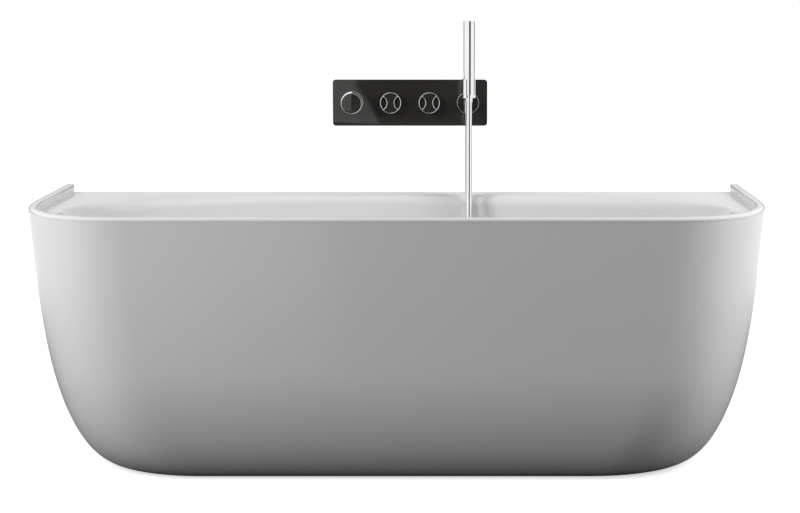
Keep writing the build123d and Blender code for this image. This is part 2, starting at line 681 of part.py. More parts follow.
def waste_body():
    """The body under the floor: collar, chamber, dip tube and the overflow's inlet."""
    top = BASIN_UNDERSIDE - WASTE_SEAL_HEIGHT
    middle = top - WASTE_COLLAR_LENGTH
    centre = (0, WASTE_Y)
    body = cylinder(WASTE_COLLAR_RADIUS, (*centre, middle), (*centre, top))
    body += cylinder(WASTE_CHAMBER_RADIUS, (*centre, WASTE_CHAMBER_FLOOR), (*centre, middle))
    body += cylinder(DIP_TUBE_RADIUS, (*centre, DIP_TUBE_END), (*centre, WASTE_CHAMBER_FLOOR))
    socket = OVERFLOW_PIPE_RADIUS + OVERFLOW_SOCKET_WALL
    mouth = WASTE_Y + WASTE_CHAMBER_RADIUS + OVERFLOW_SOCKET_DEPTH
    body += cylinder(socket, (*centre, OVERFLOW_PIPE_LOW_Z), (0, mouth, OVERFLOW_PIPE_LOW_Z))
    gland_y = mouth - OVERFLOW_SOCKET_DEPTH
    body += cylinder(CONTROL_CABLE_RADIUS + OVERFLOW_SOCKET_WALL / 2, (CONTROL_CABLE_X, WASTE_Y, CONTROL_CABLE_Z),
                     (CONTROL_CABLE_X, gland_y, CONTROL_CABLE_Z))
    inner = WASTE_CHAMBER_RADIUS - WASTE_CHAMBER_WALL
    floor = WASTE_CHAMBER_FLOOR + WASTE_CHAMBER_WALL
    sleeve = WASTE_SLEEVE_RADIUS + INLAY_GAP
    body -= cylinder(sleeve, (*centre, middle - 1), (*centre, top + 1))
    body -= cylinder(inner, (*centre, floor), (*centre, middle))
    body -= cylinder(DIP_TUBE_RADIUS - DIP_TUBE_WALL, (*centre, DIP_TUBE_END - 1), (*centre, floor + 1))
    pipe_end = mouth - OVERFLOW_SOCKET_DEPTH
    body -= cylinder(OVERFLOW_PIPE_RADIUS + INLAY_GAP, (0, pipe_end, OVERFLOW_PIPE_LOW_Z),
                     (0, mouth + 1, OVERFLOW_PIPE_LOW_Z))
    return body - cylinder(OVERFLOW_PIPE_RADIUS - OVERFLOW_PIPE_WALL, (*centre, OVERFLOW_PIPE_LOW_Z),
                           (0, pipe_end + 1, OVERFLOW_PIPE_LOW_Z))


def trap_body():
    """The cup of the trap, round the dip tube, with its outlet towards the wall."""
    centre = (0, WASTE_Y)
    top = WASTE_CHAMBER_FLOOR
    socket = OUTLET_PIPE_RADIUS + OUTLET_SOCKET_WALL
    mouth = WASTE_Y + TRAP_RADIUS + OUTLET_SOCKET_LENGTH
    cup = cylinder(TRAP_RADIUS, (*centre, TRAP_BASE), (*centre, top))
    cup += cylinder(socket, (*centre, OUTLET_PIPE_Z), (0, mouth, OUTLET_PIPE_Z))
    cup -= cylinder(TRAP_RADIUS - TRAP_WALL, (*centre, TRAP_BASE + TRAP_WALL), (*centre, top - TRAP_WALL))
    cup -= cylinder(DIP_TUBE_RADIUS + INLAY_GAP, (*centre, top - 2 * TRAP_WALL), (*centre, top + 1))
    wall_y = WASTE_Y + TRAP_RADIUS
    cup -= cylinder(OUTLET_PIPE_RADIUS - OUTLET_PIPE_WALL, (*centre, OUTLET_PIPE_Z), (0, mouth, OUTLET_PIPE_Z))
    return cup - cylinder(OUTLET_PIPE_RADIUS + INLAY_GAP, (0, wall_y, OUTLET_PIPE_Z), (0, mouth + 1, OUTLET_PIPE_Z))


def outlet_pipe():
    """The waste pipe from the trap to the coupler at the wall."""
    start = (0, WASTE_Y + TRAP_RADIUS, OUTLET_PIPE_Z)
    end = (0, -COUPLER_DEPTH - COUPLER_STOP, OUTLET_PIPE_Z)
    return tube(OUTLET_PIPE_RADIUS, OUTLET_PIPE_RADIUS - OUTLET_PIPE_WALL, start, end)


def outlet_coupler():
    """The coupler on the pipe's end, open to the wall for the building's pipe."""
    z = OUTLET_PIPE_Z
    stop = -COUPLER_DEPTH - COUPLER_STOP
    bore = OUTLET_PIPE_RADIUS + INLAY_GAP
    coupler = tube(COUPLER_RADIUS, bore, (0, stop - COUPLER_LAP, z), (0, 0, z))
    ring = tube(COUPLER_RADIUS, OUTLET_PIPE_RADIUS - OUTLET_PIPE_WALL, (0, stop, z), (0, -COUPLER_DEPTH, z))
    return coupler + ring


def bent(points, bends, section):
    """A pipe section swept along straight runs joined by arcs."""
    path = FilletPolyline(*points, radius=bends)
    start = Plane(path @ 0, z_dir=path % 0)
    return sweep(start * section, path=path)


def overflow_face():
    """Where the overflow flange's front stands, in front of the seal."""
    return back_wall(OVERFLOW_Z) - OVERFLOW_SEAL_DEPTH - OVERFLOW_FLANGE_DEPTH


def overflow_seals():
    """Rubber rings on both sides of the basin's wall, cut to its slope."""
    inner, outer = back_wall(OVERFLOW_Z), back_wall(OVERFLOW_Z, outside=True)
    reach = OVERFLOW_SEAL_DEPTH
    front = tube(OVERFLOW_SEAL_OUTER, OVERFLOW_SEAL_INNER, (0, inner - reach, OVERFLOW_Z),
                 (0, inner + reach, OVERFLOW_Z))
    rear = tube(OVERFLOW_SEAL_OUTER, OVERFLOW_SEAL_INNER, (0, outer - reach, OVERFLOW_Z),
                (0, outer + reach, OVERFLOW_Z))
    return group([front & basin_hollow(), rear - basin_block()])


def overflow_flange():
    """The chrome ring inside the basin, whose spokes and hub carry the knob's shaft."""
    start = Plane((0, overflow_face(), OVERFLOW_Z), x_dir=(1, 0, 0), z_dir=(0, 1, 0))
    rim = OVERFLOW_FLANGE_RADIUS - OVERFLOW_NECK_RADIUS + OVERFLOW_NECK_WALL
    return spider(OVERFLOW_FLANGE_RADIUS, rim, OVERFLOW_HUB_RADIUS,
                  OVERFLOW_SHAFT_RADIUS + SHAFT_CLEARANCE, OVERFLOW_SPOKE, start,
                  OVERFLOW_FLANGE_DEPTH, 2 * OVERFLOW_FLANGE_DEPTH)


def overflow_body():
    """The chamber behind the basin: neck, filler inlet above, overflow socket below."""
    front = overflow_face() + OVERFLOW_FLANGE_DEPTH
    shoulder = back_wall(OVERFLOW_Z, outside=True) + OVERFLOW_SEAL_DEPTH
    axis = (0, OVERFLOW_PIPE_Y)
    body = cylinder(OVERFLOW_BODY_RADIUS, (0, shoulder, OVERFLOW_Z), (0, OVERFLOW_BODY_BACK, OVERFLOW_Z))
    body += cylinder(OVERFLOW_NECK_RADIUS, (0, front, OVERFLOW_Z), (0, shoulder, OVERFLOW_Z))
    body += cylinder(FILL_STUB_RADIUS, (*axis, OVERFLOW_Z), (*axis, FILLER_TOP))
    body += cylinder(OVERFLOW_PIPE_RADIUS + OVERFLOW_SOCKET_WALL, (*axis, OVERFLOW_SOCKET_END),
                     (*axis, OVERFLOW_Z))
    gland = CONTROL_CABLE_RADIUS + OVERFLOW_SOCKET_WALL / 2
    body += cylinder(gland, (CONTROL_CABLE_X, CONTROL_CABLE_Y, OVERFLOW_PIPE_TOP),
                     (CONTROL_CABLE_X, CONTROL_CABLE_Y, OVERFLOW_Z))
    wall = OVERFLOW_SOCKET_WALL
    body -= cylinder(OVERFLOW_BODY_RADIUS - wall, (0, shoulder + wall, OVERFLOW_Z),
                     (0, OVERFLOW_BODY_BACK - wall, OVERFLOW_Z))
    body -= cylinder(OVERFLOW_NECK_RADIUS - OVERFLOW_NECK_WALL, (0, front - 1, OVERFLOW_Z),
                     (0, shoulder + wall + 1, OVERFLOW_Z))
    body -= cylinder(FILL_PIPE_RADIUS + INLAY_GAP, (*axis, FILLER_TOP - FILL_NUT_HEIGHT),
                     (*axis, FILLER_TOP + 1))
    body -= cylinder(FILL_PIPE_RADIUS - FILL_PIPE_WALL, (*axis, OVERFLOW_Z), (*axis, FILLER_TOP))
    body -= cylinder(OVERFLOW_PIPE_RADIUS - OVERFLOW_PIPE_WALL, (*axis, OVERFLOW_SOCKET_END),
                     (*axis, OVERFLOW_Z))
    return body - cylinder(OVERFLOW_PIPE_RADIUS + INLAY_GAP, (*axis, OVERFLOW_SOCKET_END - 1),
                           (*axis, OVERFLOW_PIPE_TOP))


def overflow_pipe():
    """The pipe that takes the overflow down and under the basin to the waste body."""
    low_end = WASTE_Y + WASTE_CHAMBER_RADIUS
    points = [(0, OVERFLOW_PIPE_Y, OVERFLOW_PIPE_TOP), (0, OVERFLOW_PIPE_Y, OVERFLOW_PIPE_LOW_Z),
              (0, low_end, OVERFLOW_PIPE_LOW_Z)]
    section = Circle(OVERFLOW_PIPE_RADIUS) - Circle(OVERFLOW_PIPE_RADIUS - OVERFLOW_PIPE_WALL)
    return bent(points, OVERFLOW_PIPE_BEND, section)


def control_cable():
    """The cable from the overflow knob to the plug, clipped between its two glands."""
    points = [(CONTROL_CABLE_X, CONTROL_CABLE_Y, OVERFLOW_PIPE_TOP),
              (CONTROL_CABLE_X, CONTROL_CABLE_Y, CONTROL_CABLE_Z),
              (CONTROL_CABLE_X, WASTE_Y + WASTE_CHAMBER_RADIUS, CONTROL_CABLE_Z)]
    return bent(points, CONTROL_CABLE_BEND, Circle(CONTROL_CABLE_RADIUS))


def overflow_knob():
    """The fluted chrome knob that is turned to lift the plug."""
    back = overflow_face() - KNOB_RUNNING_GAP
    front = back - OVERFLOW_KNOB_DEPTH
    knob = cylinder(OVERFLOW_KNOB_RADIUS, (0, front, OVERFLOW_Z), (0, back, OVERFLOW_Z))
    for k in range(OVERFLOW_KNOB_FLUTES):
        angle = 2 * math.pi * k / OVERFLOW_KNOB_FLUTES
        reach = OVERFLOW_KNOB_RADIUS + OVERFLOW_FLUTE_RADIUS / 2
        x, z = reach * math.sin(angle), OVERFLOW_Z + reach * math.cos(angle)
        knob -= cylinder(OVERFLOW_FLUTE_RADIUS, (x, front - 1, z), (x, back + 1, z))
    return knob


def overflow_shaft():
    """The knob's shaft through the flange's hub, with the disc that pulls the cable."""
    start = overflow_face() - KNOB_RUNNING_GAP
    disc_back = OVERFLOW_PIPE_Y - OVERFLOW_PIPE_RADIUS
    disc_front = disc_back - OVERFLOW_SPOKE
    shaft = cylinder(OVERFLOW_SHAFT_RADIUS, (0, start, OVERFLOW_Z), (0, disc_back, OVERFLOW_Z))
    return shaft + cylinder(2 * OVERFLOW_HUB_RADIUS, (0, disc_front, OVERFLOW_Z), (0, disc_back, OVERFLOW_Z))


def bath_fill_pipe():
    """The pipe in the wall from the valve down to the overflow's filler inlet."""
    points = [
        (FILL_PIPE_X, FILL_PIPE_Y, VALVE_BOTTOM + SUPPLY_THREAD_LENGTH - 1),
        (FILL_PIPE_X, FILL_PIPE_Y, FILL_PIPE_RUN_Z),
        (0, FILL_PIPE_Y, FILL_PIPE_RUN_Z),
        (0, OVERFLOW_PIPE_Y, FILL_PIPE_RUN_Z),
        (0, OVERFLOW_PIPE_Y, FILLER_TOP - FILL_NUT_HEIGHT + 1),
    ]
    section = Circle(FILL_PIPE_RADIUS) - Circle(FILL_PIPE_RADIUS - FILL_PIPE_WALL)
    return bent(points, FILL_PIPE_BEND, section)


def fill_pipe_nuts():
    """The compression nuts at the pipe's two ends."""
    nuts = []
    for x, y, z in ((FILL_PIPE_X, FILL_PIPE_Y, VALVE_BOTTOM - FILL_NUT_HEIGHT),
                    (0, OVERFLOW_PIPE_Y, FILLER_TOP)):
        nut = hexagon(FILL_NUT_FLATS, (x, y, z), FILL_NUT_HEIGHT)
        hole = cylinder(FILL_PIPE_RADIUS + INLAY_GAP, (x, y, z - 1), (x, y, z + FILL_NUT_HEIGHT + 1))
        nuts.append(nut - hole)
    return group(nuts)


def wall_box():
    """The box set in the wall behind the panel, open to the room."""
    half = PANEL_HALF - BOX_MARGIN
    wall = BOX_WALL
    box = block((PANEL_X - half, PANEL_X + half), (0, BOX_DEPTH), (BOX_BOTTOM, BOX_TOP))
    box -= block((PANEL_X - half + wall, PANEL_X + half - wall), (-1, BOX_DEPTH - wall),
                 (BOX_BOTTOM + wall, BOX_TOP - wall))
    for x, y in ((TEMPERATURE_X, VALVE_Y), (BATH_X, VALVE_Y), (FILL_PIPE_X, FILL_PIPE_Y)):
        box -= cylinder(SUPPLY_HOLE_RADIUS, (x, y, BOX_BOTTOM - 1), (x, y, BOX_BOTTOM + wall + 1))
    for along in (-1, 1):
        for up in (-1, 1):
            x = PANEL_X + along * BOX_FIXING_X / 2
            z = PANEL_Z + up * BOX_FIXING_Z / 2
            box -= cylinder(BOX_FIXING_RADIUS, (x, BOX_DEPTH - wall - 1, z), (x, BOX_DEPTH + 1, z))
    return box


def valve_body():
    """The brass casting: a bar with four stubs forward, two inlets and one outlet below."""
    left, right = TEMPERATURE_X - VALVE_BAR_OVER, OUTLET_X + VALVE_BAR_OVER
    back = BOX_DEPTH - BOX_WALL
    body = cylinder(VALVE_BAR_RADIUS, (left, VALVE_Y, PANEL_Z), (right, VALVE_Y, PANEL_Z))
    for x in MODULE_X:
        body += cylinder(VALVE_STUB_RADIUS, (x, VALVE_Y, PANEL_Z), (x, VALVE_STUB_FACE, PANEL_Z))
    for side in (-1, 1):
        middle = PANEL_X + side * VALVE_LUG_X
        body += block((middle - VALVE_LUG_WIDTH / 2, middle + VALVE_LUG_WIDTH / 2), (VALVE_Y, back),
                      (PANEL_Z - VALVE_LUG_HEIGHT / 2, PANEL_Z + VALVE_LUG_HEIGHT / 2))
    for x in (TEMPERATURE_X, BATH_X):
        body += cylinder(SUPPLY_RADIUS, (x, VALVE_Y, VALVE_BOTTOM), (x, VALVE_Y, PANEL_Z))
        body -= cylinder(SUPPLY_THREAD_RADIUS, (x, VALVE_Y, VALVE_BOTTOM - 1),
                         (x, VALVE_Y, VALVE_BOTTOM + SUPPLY_THREAD_LENGTH))
    body += cylinder(FILL_STUB_RADIUS, (FILL_PIPE_X, FILL_PIPE_Y, VALVE_BOTTOM),
                     (FILL_PIPE_X, FILL_PIPE_Y, PANEL_Z))
    body -= cylinder(FILL_PIPE_RADIUS + INLAY_GAP, (FILL_PIPE_X, FILL_PIPE_Y, VALVE_BOTTOM - 1),
                     (FILL_PIPE_X, FILL_PIPE_Y, VALVE_BOTTOM + SUPPLY_THREAD_LENGTH))
    bore_end = VALVE_STUB_FACE + CARTRIDGE_LENGTH + 1
    for x in (TEMPERATURE_X, BATH_X, SHOWER_X):
        body -= cylinder(CARTRIDGE_BORE_RADIUS, (x, VALVE_STUB_FACE - 1, PANEL_Z), (x, bore_end, PANEL_Z))
    tail = OUTLET_TAIL_RADIUS + INLAY_GAP
    return body - cylinder(tail, (OUTLET_X, VALVE_STUB_FACE - 1, PANEL_Z), (OUTLET_X, bore_end, PANEL_Z))


def cartridge(x):
    """A valve cartridge in its stub, with a bore for its spindle."""
    end = VALVE_STUB_FACE + CARTRIDGE_LENGTH
    head = VALVE_STUB_FACE - CARTRIDGE_HEAD_DEPTH
    body = cylinder(CARTRIDGE_RADIUS, (x, VALVE_STUB_FACE, PANEL_Z), (x, end, PANEL_Z))
    body += cylinder(CARTRIDGE_HEAD_RADIUS, (x, head, PANEL_Z), (x, VALVE_STUB_FACE, PANEL_Z))
    return body - cylinder(SPINDLE_RADIUS + SHAFT_CLEARANCE, (x, head - 1, PANEL_Z), (x, end + 1, PANEL_Z))


def spindle(x):
    """The spindle that a knob turns, from inside its cartridge into the knob's bore."""
    end = KNOB_BACK - BORE_DEPTH + SEAT_CLEARANCE
    return cylinder(SPINDLE_RADIUS, (x, end, PANEL_Z), (x, end + SPINDLE_LENGTH, PANEL_Z))


def plate(half_length, half_height, corner, front, depth, hole):
    """An upright plate centred on the panel, with a round hole at each module."""
    face = RectangleRounded(2 * half_length, 2 * half_height, corner)
    solid = extrude(Plane((PANEL_X, front + depth, PANEL_Z), x_dir=(1, 0, 0), z_dir=(0, -1, 0)) * face,
                    depth)
    for x in MODULE_X:
        solid -= cylinder(hole, (x, front - 1, PANEL_Z), (x, front + depth + 1, PANEL_Z))
    return solid


def backing_plate():
    """The aluminium plate between the wall and the glass."""
    margin = BACKING_MARGIN
    return plate(PANEL_HALF - margin, PANEL_HEIGHT / 2 - margin, PANEL_CORNER, -BACKING_THICKNESS,
                 BACKING_THICKNESS, BACKING_HOLE_RADIUS)


def glass_panel():
    """The black glass, with its front edge eased."""
    glass = plate(PANEL_HALF, PANEL_HEIGHT / 2, PANEL_CORNER, PANEL_FACE, GLASS_THICKNESS, PANEL_HOLE_RADIUS)
    front = glass.faces().sort_by(Axis.Y)[0]
    return chamfer(front.outer_wire().edges(), PANEL_EDGE_ROUND)


def knob_base_rings():
    """The fixed rings on the glass under the three knobs."""
    back = PANEL_FACE - BASE_RING_DEPTH
    radii = (BASE_RING_RADIUS, VALVE_KNOB_RADIUS - 1, VALVE_KNOB_RADIUS - 1)
    return group([tube(radius, BASE_RING_INNER, (x, back, PANEL_Z), (x, PANEL_FACE, PANEL_Z))
                  for x, radius in zip(MODULE_X, radii)])


def temperature_knob_body():
    """The long chrome knob: a recess for its cap in front, a bore for the spindle behind."""
    x, z = TEMPERATURE_X, PANEL_Z
    front = KNOB_BACK - TEMPERATURE_LENGTH
    knob = cylinder(TEMPERATURE_RADIUS, (x, front, z), (x, KNOB_BACK, z))
    knob -= cylinder(TEMPERATURE_RADIUS - TEMPERATURE_RIM, (x, front - 1, z), (x, front + TEMPERATURE_CAP_DEPTH, z))
    return knob - cylinder(SPINDLE_RADIUS + INLAY_GAP, (x, KNOB_BACK - BORE_DEPTH, z), (x, KNOB_BACK + 1, z))


def temperature_knob_cap():
    """The black glass disc in the knob's front."""
    front = KNOB_BACK - TEMPERATURE_LENGTH
    radius = TEMPERATURE_RADIUS - TEMPERATURE_RIM - INLAY_GAP
    return cylinder(radius, (TEMPERATURE_X, front, PANEL_Z), (TEMPERATURE_X, front + TEMPERATURE_CAP_DEPTH, PANEL_Z))


def scoops(x, radius, front, back):
    """Two upright bars whose overlap with the knob makes its lens-shaped finger scoops."""
    return [cylinder(radius, (x + side * SCOOP_CENTRE, front, PANEL_Z), (x + side * SCOOP_CENTRE, back, PANEL_Z))
            for side in (-1, 1)]


def valve_knob_body(x):
    """A low chrome knob: a rim, two finger scoops and a recess for its glass face."""
    z, front = PANEL_Z, VALVE_KNOB_FRONT
    inner = VALVE_KNOB_RADIUS - VALVE_KNOB_RIM
    knob = cylinder(VALVE_KNOB_RADIUS, (x, front, z), (x, KNOB_BACK, z))
    recess = cylinder(inner, (x, front - 1, z), (x, front + FACE_DEPTH, z))
    scoop = cylinder(inner, (x, front - 1, z), (x, front + SCOOP_DEPTH, z))
    walls = scoops(x, SCOOP_RADIUS + SCOOP_WALL, front - 2, KNOB_BACK)
    hollows = scoops(x, SCOOP_RADIUS, front - 2, KNOB_BACK)
    knob -= recess - walls[0] - walls[1]
    knob -= (scoop & hollows[0]) + (scoop & hollows[1])
    return knob - cylinder(SPINDLE_RADIUS + INLAY_GAP, (x, KNOB_BACK - BORE_DEPTH, z), (x, KNOB_BACK + 1, z))


def valve_knob_face(x):
    """The knob's black glass: the waisted face, and the floors of the two scoops."""
    z, front = PANEL_Z, VALVE_KNOB_FRONT
    inner = VALVE_KNOB_RADIUS - VALVE_KNOB_RIM - INLAY_GAP
    walls = scoops(x, SCOOP_RADIUS + SCOOP_WALL + INLAY_GAP, front - 1, KNOB_BACK)
    face = cylinder(inner, (x, front, z), (x, front + FACE_DEPTH, z)) - walls[0] - walls[1]
    floor_back = front + SCOOP_DEPTH
    floor = cylinder(inner, (x, floor_back - SCOOP_FLOOR, z), (x, floor_back, z))
    hollows = scoops(x, SCOOP_RADIUS - INLAY_GAP, front - 1, KNOB_BACK)
    return group([face, floor & hollows[0], floor & hollows[1]])


def rosette_ring():
    """The thin chrome ring of the fourth module."""
    return tube(ROSETTE_RADIUS, ROSETTE_RADIUS - ROSETTE_RIM, (OUTLET_X, PANEL_FACE - ROSETTE_DEPTH, PANEL_Z),
                (OUTLET_X, PANEL_FACE, PANEL_Z))


def rosette_plate():
    """The black plate inside the ring, drilled for the outlet and the holder's arm."""
    front = PANEL_FACE - ROSETTE_DEPTH + ROSETTE_RIM
    disc = cylinder(ROSETTE_RADIUS - ROSETTE_RIM - INLAY_GAP, (OUTLET_X, front, PANEL_Z),
                    (OUTLET_X, PANEL_FACE, PANEL_Z))
    disc -= cylinder(OUTLET_TAIL_RADIUS + INLAY_GAP, (OUTLET_X, front - 1, PANEL_Z), (OUTLET_X, 0, PANEL_Z))
    return disc


def hose_outlet():
    """The chrome elbow that feeds the hose, screwed into the valve body."""
    x, z = OUTLET_X, PANEL_Z
    front = PANEL_FACE - ROSETTE_DEPTH + ROSETTE_RIM
    tail_end = VALVE_STUB_FACE + CARTRIDGE_LENGTH
    elbow = cylinder(OUTLET_TAIL_RADIUS, (x, front, z), (x, tail_end, z))
    elbow += cylinder(OUTLET_BOSS_RADIUS, (x, OUTLET_Y / 2, z), (x, front, z))
    elbow += cylinder(OUTLET_RADIUS, (x, OUTLET_Y, z), (x, front, z))
    elbow += Pos(x, OUTLET_Y, z) * Sphere(OUTLET_RADIUS)
    elbow += cylinder(OUTLET_RADIUS, (x, OUTLET_Y, OUTLET_BOTTOM), (x, OUTLET_Y, z))
    elbow -= cylinder(OUTLET_BORE_RADIUS, (x, OUTLET_Y, z), (x, tail_end + 1, z))
    return elbow - cylinder(OUTLET_BORE_RADIUS, (x, OUTLET_Y, OUTLET_BOTTOM - 1), (x, OUTLET_Y, z))


def handset_holder():
    """The open cup that the hand shower stands in, on an arm from the rosette."""
    centre = (HANDSET_X, HANDSET_Y)
    bore = HANDSET_RADIUS + HOLDER_GAP
    seat = HANDSET_BOTTOM - SEAT_CLEARANCE
    low = seat - HOLDER_SHELF
    arm_z = seat - HOLDER_ARM_RADIUS
    front = PANEL_FACE - ROSETTE_DEPTH + ROSETTE_RIM
    cup = cylinder(bore + HOLDER_WALL, (*centre, low), (*centre, HOLDER_TOP))
    cup += cylinder(HOLDER_ARM_RADIUS, (HANDSET_X, front, arm_z), (HANDSET_X, HANDSET_Y, arm_z))
    cup -= cylinder(bore, (*centre, seat), (*centre, HOLDER_TOP + 1))
    cup -= cylinder(HOLDER_SHELF_RADIUS, (*centre, low - 2 * HOLDER_SHELF), (*centre, seat + 1))
    reach = 2 * (bore + HOLDER_WALL)
    lips = [HOLDER_LIP_ANGLE + HOLDER_OPENING * k / 2 for k in range(3)]
    corners = [(reach * math.sin(math.radians(a)), -reach * math.cos(math.radians(a))) for a in lips]
    wedge = extrude(Pos(*centre, low - 1) * make_face(Polyline((0, 0), *corners, close=True)),
                    HOLDER_TOP - low + 2)
    return cup - wedge


def handset_body():
    """The hand shower's round stick: hollow, shut at the top, with a slot for the spray plate."""
    centre = (HANDSET_X, HANDSET_Y)
    neck = HANDSET_BOTTOM + INLET_LENGTH / 2
    stick = cylinder(HANDSET_RADIUS, (*centre, HANDSET_BOTTOM), (*centre, HANDSET_TOP))
    stick = chamfer(stick.edges().sort_by(Axis.Z)[-1], HANDSET_EDGE)
    stick -= cylinder(HANDSET_RADIUS - HANDSET_WALL, (*centre, neck), (*centre, HANDSET_TOP - HANDSET_WALL))
    stick -= cylinder(INLET_RADIUS + INLAY_GAP, (*centre, HANDSET_BOTTOM - 1), (*centre, neck + 1))
    return stick - spray_space(INLAY_GAP)


def spray_space(gap):
    """The slot on the side of the stick that faces the wall."""
    half = SPRAY_WIDTH / 2 + gap
    top = HANDSET_TOP - SPRAY_FROM_TOP + gap
    inner = HANDSET_Y + HANDSET_RADIUS - SPRAY_THICKNESS
    return block((HANDSET_X - half, HANDSET_X + half), (inner, HANDSET_Y + 2 * HANDSET_RADIUS),
                 (top - SPRAY_LENGTH - 2 * gap, top))


def spray_plate():
    """The strip that holds the nozzles, flush with the stick."""
    stick = cylinder(HANDSET_RADIUS, (HANDSET_X, HANDSET_Y, HANDSET_BOTTOM), (HANDSET_X, HANDSET_Y, HANDSET_TOP))
    return stick & spray_space(0)


def spray_nozzles():
    """Two columns of rubber nozzles on the strip."""
    solids = []
    middle = HANDSET_TOP - SPRAY_FROM_TOP - SPRAY_LENGTH / 2
    for column in range(NOZZLE_COLUMNS):
        across = NOZZLE_PITCH * (column - (NOZZLE_COLUMNS - 1) / 2)
        start = HANDSET_Y + math.sqrt(HANDSET_RADIUS**2 - (abs(across) - NOZZLE_RADIUS) ** 2)
        for row in range(NOZZLE_ROWS):
            z = middle + NOZZLE_PITCH * (row - (NOZZLE_ROWS - 1) / 2)
            x = HANDSET_X + across
            solids.append(cylinder(NOZZLE_RADIUS, (x, start, z), (x, start + NOZZLE_HEIGHT, z)))
    return group(solids)


def handset_inlet():
    """The brass inlet in the foot of the stick."""
    centre = (HANDSET_X, HANDSET_Y)
    return tube(INLET_RADIUS, INLET_BORE_RADIUS, (*centre, HANDSET_BOTTOM),
                (*centre, HANDSET_BOTTOM + INLET_LENGTH))


def hose_nut(x, y, top):
    """A tapered chrome nut on one end of the hose."""
    nut = cone(NUT_BOTTOM_RADIUS, NUT_TOP_RADIUS, (x, y, top - NUT_LENGTH), (x, y, top))
    return nut - cylinder(INLET_BORE_RADIUS, (x, y, top - NUT_LENGTH - 1), (x, y, top + 1))


def hose_route():
    """The hose's points from the hand shower's nut to the outlet's, and the arc at each corner."""
    low = NUT_LENGTH + SEAT_CLEARANCE
    points = [(HANDSET_X, HANDSET_Y, HANDSET_BOTTOM - low), *HOSE_POINTS,
              (OUTLET_X, OUTLET_Y, OUTLET_BOTTOM - low)]
    runs = [Vector(*b) - Vector(*a) for a, b in zip(points, points[1:])]
    radii = []
    for first, second in zip(runs, runs[1:]):
        turn = math.radians(first.get_angle(second))
        radii.append(0.45 * min(first.length, second.length) / math.tan(turn / 2))
    return points, radii


def shower_hose():
    """The smooth hose, hanging in a loop inside the basin."""
    points, radii = hose_route()
    path = FilletPolyline(*points, radius=radii)
    start = Plane(path @ 0, z_dir=path % 0)
    hose = sweep(start * Circle(HOSE_RADIUS), path=path)
    area = math.pi * HOSE_RADIUS**2
    print("hose length", round(path.length), "volume over section", round(hose.volume / area),
          "radii", [round(r) for r in radii])
    return hose


NODES = {
    "basin_shell": basin_shell,
    "outer_panel": outer_panel,
    "base_board": base_board,
    "long_rails": long_rails,
    "cross_rails": cross_rails,
    "foot_screws": foot_screws,
    "foot_nuts": foot_nuts,
    "foot_pads": foot_pads,
    "wall_brackets": wall_brackets,
    "waste_flange": waste_flange,
    "waste_strainer": waste_strainer,
    "waste_plug": waste_plug,
    "plug_stem": plug_stem,
    "plug_seal": plug_seal,
    "waste_seal": waste_seal,
    "waste_body": waste_body,
    "trap_body": trap_body,
    "outlet_pipe": outlet_pipe,
    "outlet_coupler": outlet_coupler,
    "overflow_seals": overflow_seals,
    "overflow_flange": overflow_flange,
    "overflow_body": overflow_body,
    "overflow_pipe": overflow_pipe,
    "overflow_knob": overflow_knob,
    "overflow_shaft": overflow_shaft,
    "control_cable": control_cable,
    "bath_fill_pipe": bath_fill_pipe,
    "fill_pipe_nuts": fill_pipe_nuts,
    "wall_box": wall_box,
    "valve_body": valve_body,
    "temperature_cartridge": lambda: cartridge(TEMPERATURE_X),
    "bath_cartridge": lambda: cartridge(BATH_X),
    "shower_cartridge": lambda: cartridge(SHOWER_X),
    "temperature_spindle": lambda: spindle(TEMPERATURE_X),
    "bath_spindle": lambda: spindle(BATH_X),
    "shower_spindle": lambda: spindle(SHOWER_X),
    "backing_plate": backing_plate,
    "glass_panel": glass_panel,
    "knob_base_rings": knob_base_rings,
    "temperature_knob_body": temperature_knob_body,
    "temperature_knob_cap": temperature_knob_cap,
    "bath_knob_body": lambda: valve_knob_body(BATH_X),
    "bath_knob_face": lambda: valve_knob_face(BATH_X),
    "shower_knob_body": lambda: valve_knob_body(SHOWER_X),
    "shower_knob_face": lambda: valve_knob_face(SHOWER_X),
    "rosette_ring": rosette_ring,
    "rosette_plate": rosette_plate,
    "hose_outlet": hose_outlet,
    "handset_holder": handset_holder,
    "handset_body": handset_body,
    "spray_plate": spray_plate,
    "spray_nozzles": spray_nozzles,
    "handset_inlet": handset_inlet,
    "handset_nut": lambda: hose_nut(HANDSET_X, HANDSET_Y, HANDSET_BOTTOM),
    "outlet_nut": lambda: hose_nut(OUTLET_X, OUTLET_Y, OUTLET_BOTTOM),
    "shower_hose": shower_hose,
}


os.makedirs("parts", exist_ok=True)
for node_name, build_node in NODES.items():
    export_step(build_node(), os.path.join("parts", f"{node_name}.step"))
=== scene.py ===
# %% [markdown]
# # A back-to-wall bathtub with its mixer panel and hand shower
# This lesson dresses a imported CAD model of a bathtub. The CAD pieces arrive in metres, in place,
# and grouped by the body that they move with. The main pieces that show are modelled again here
# with finer surfaces, and the others keep their CAD shape and get a finish.

import json
import math

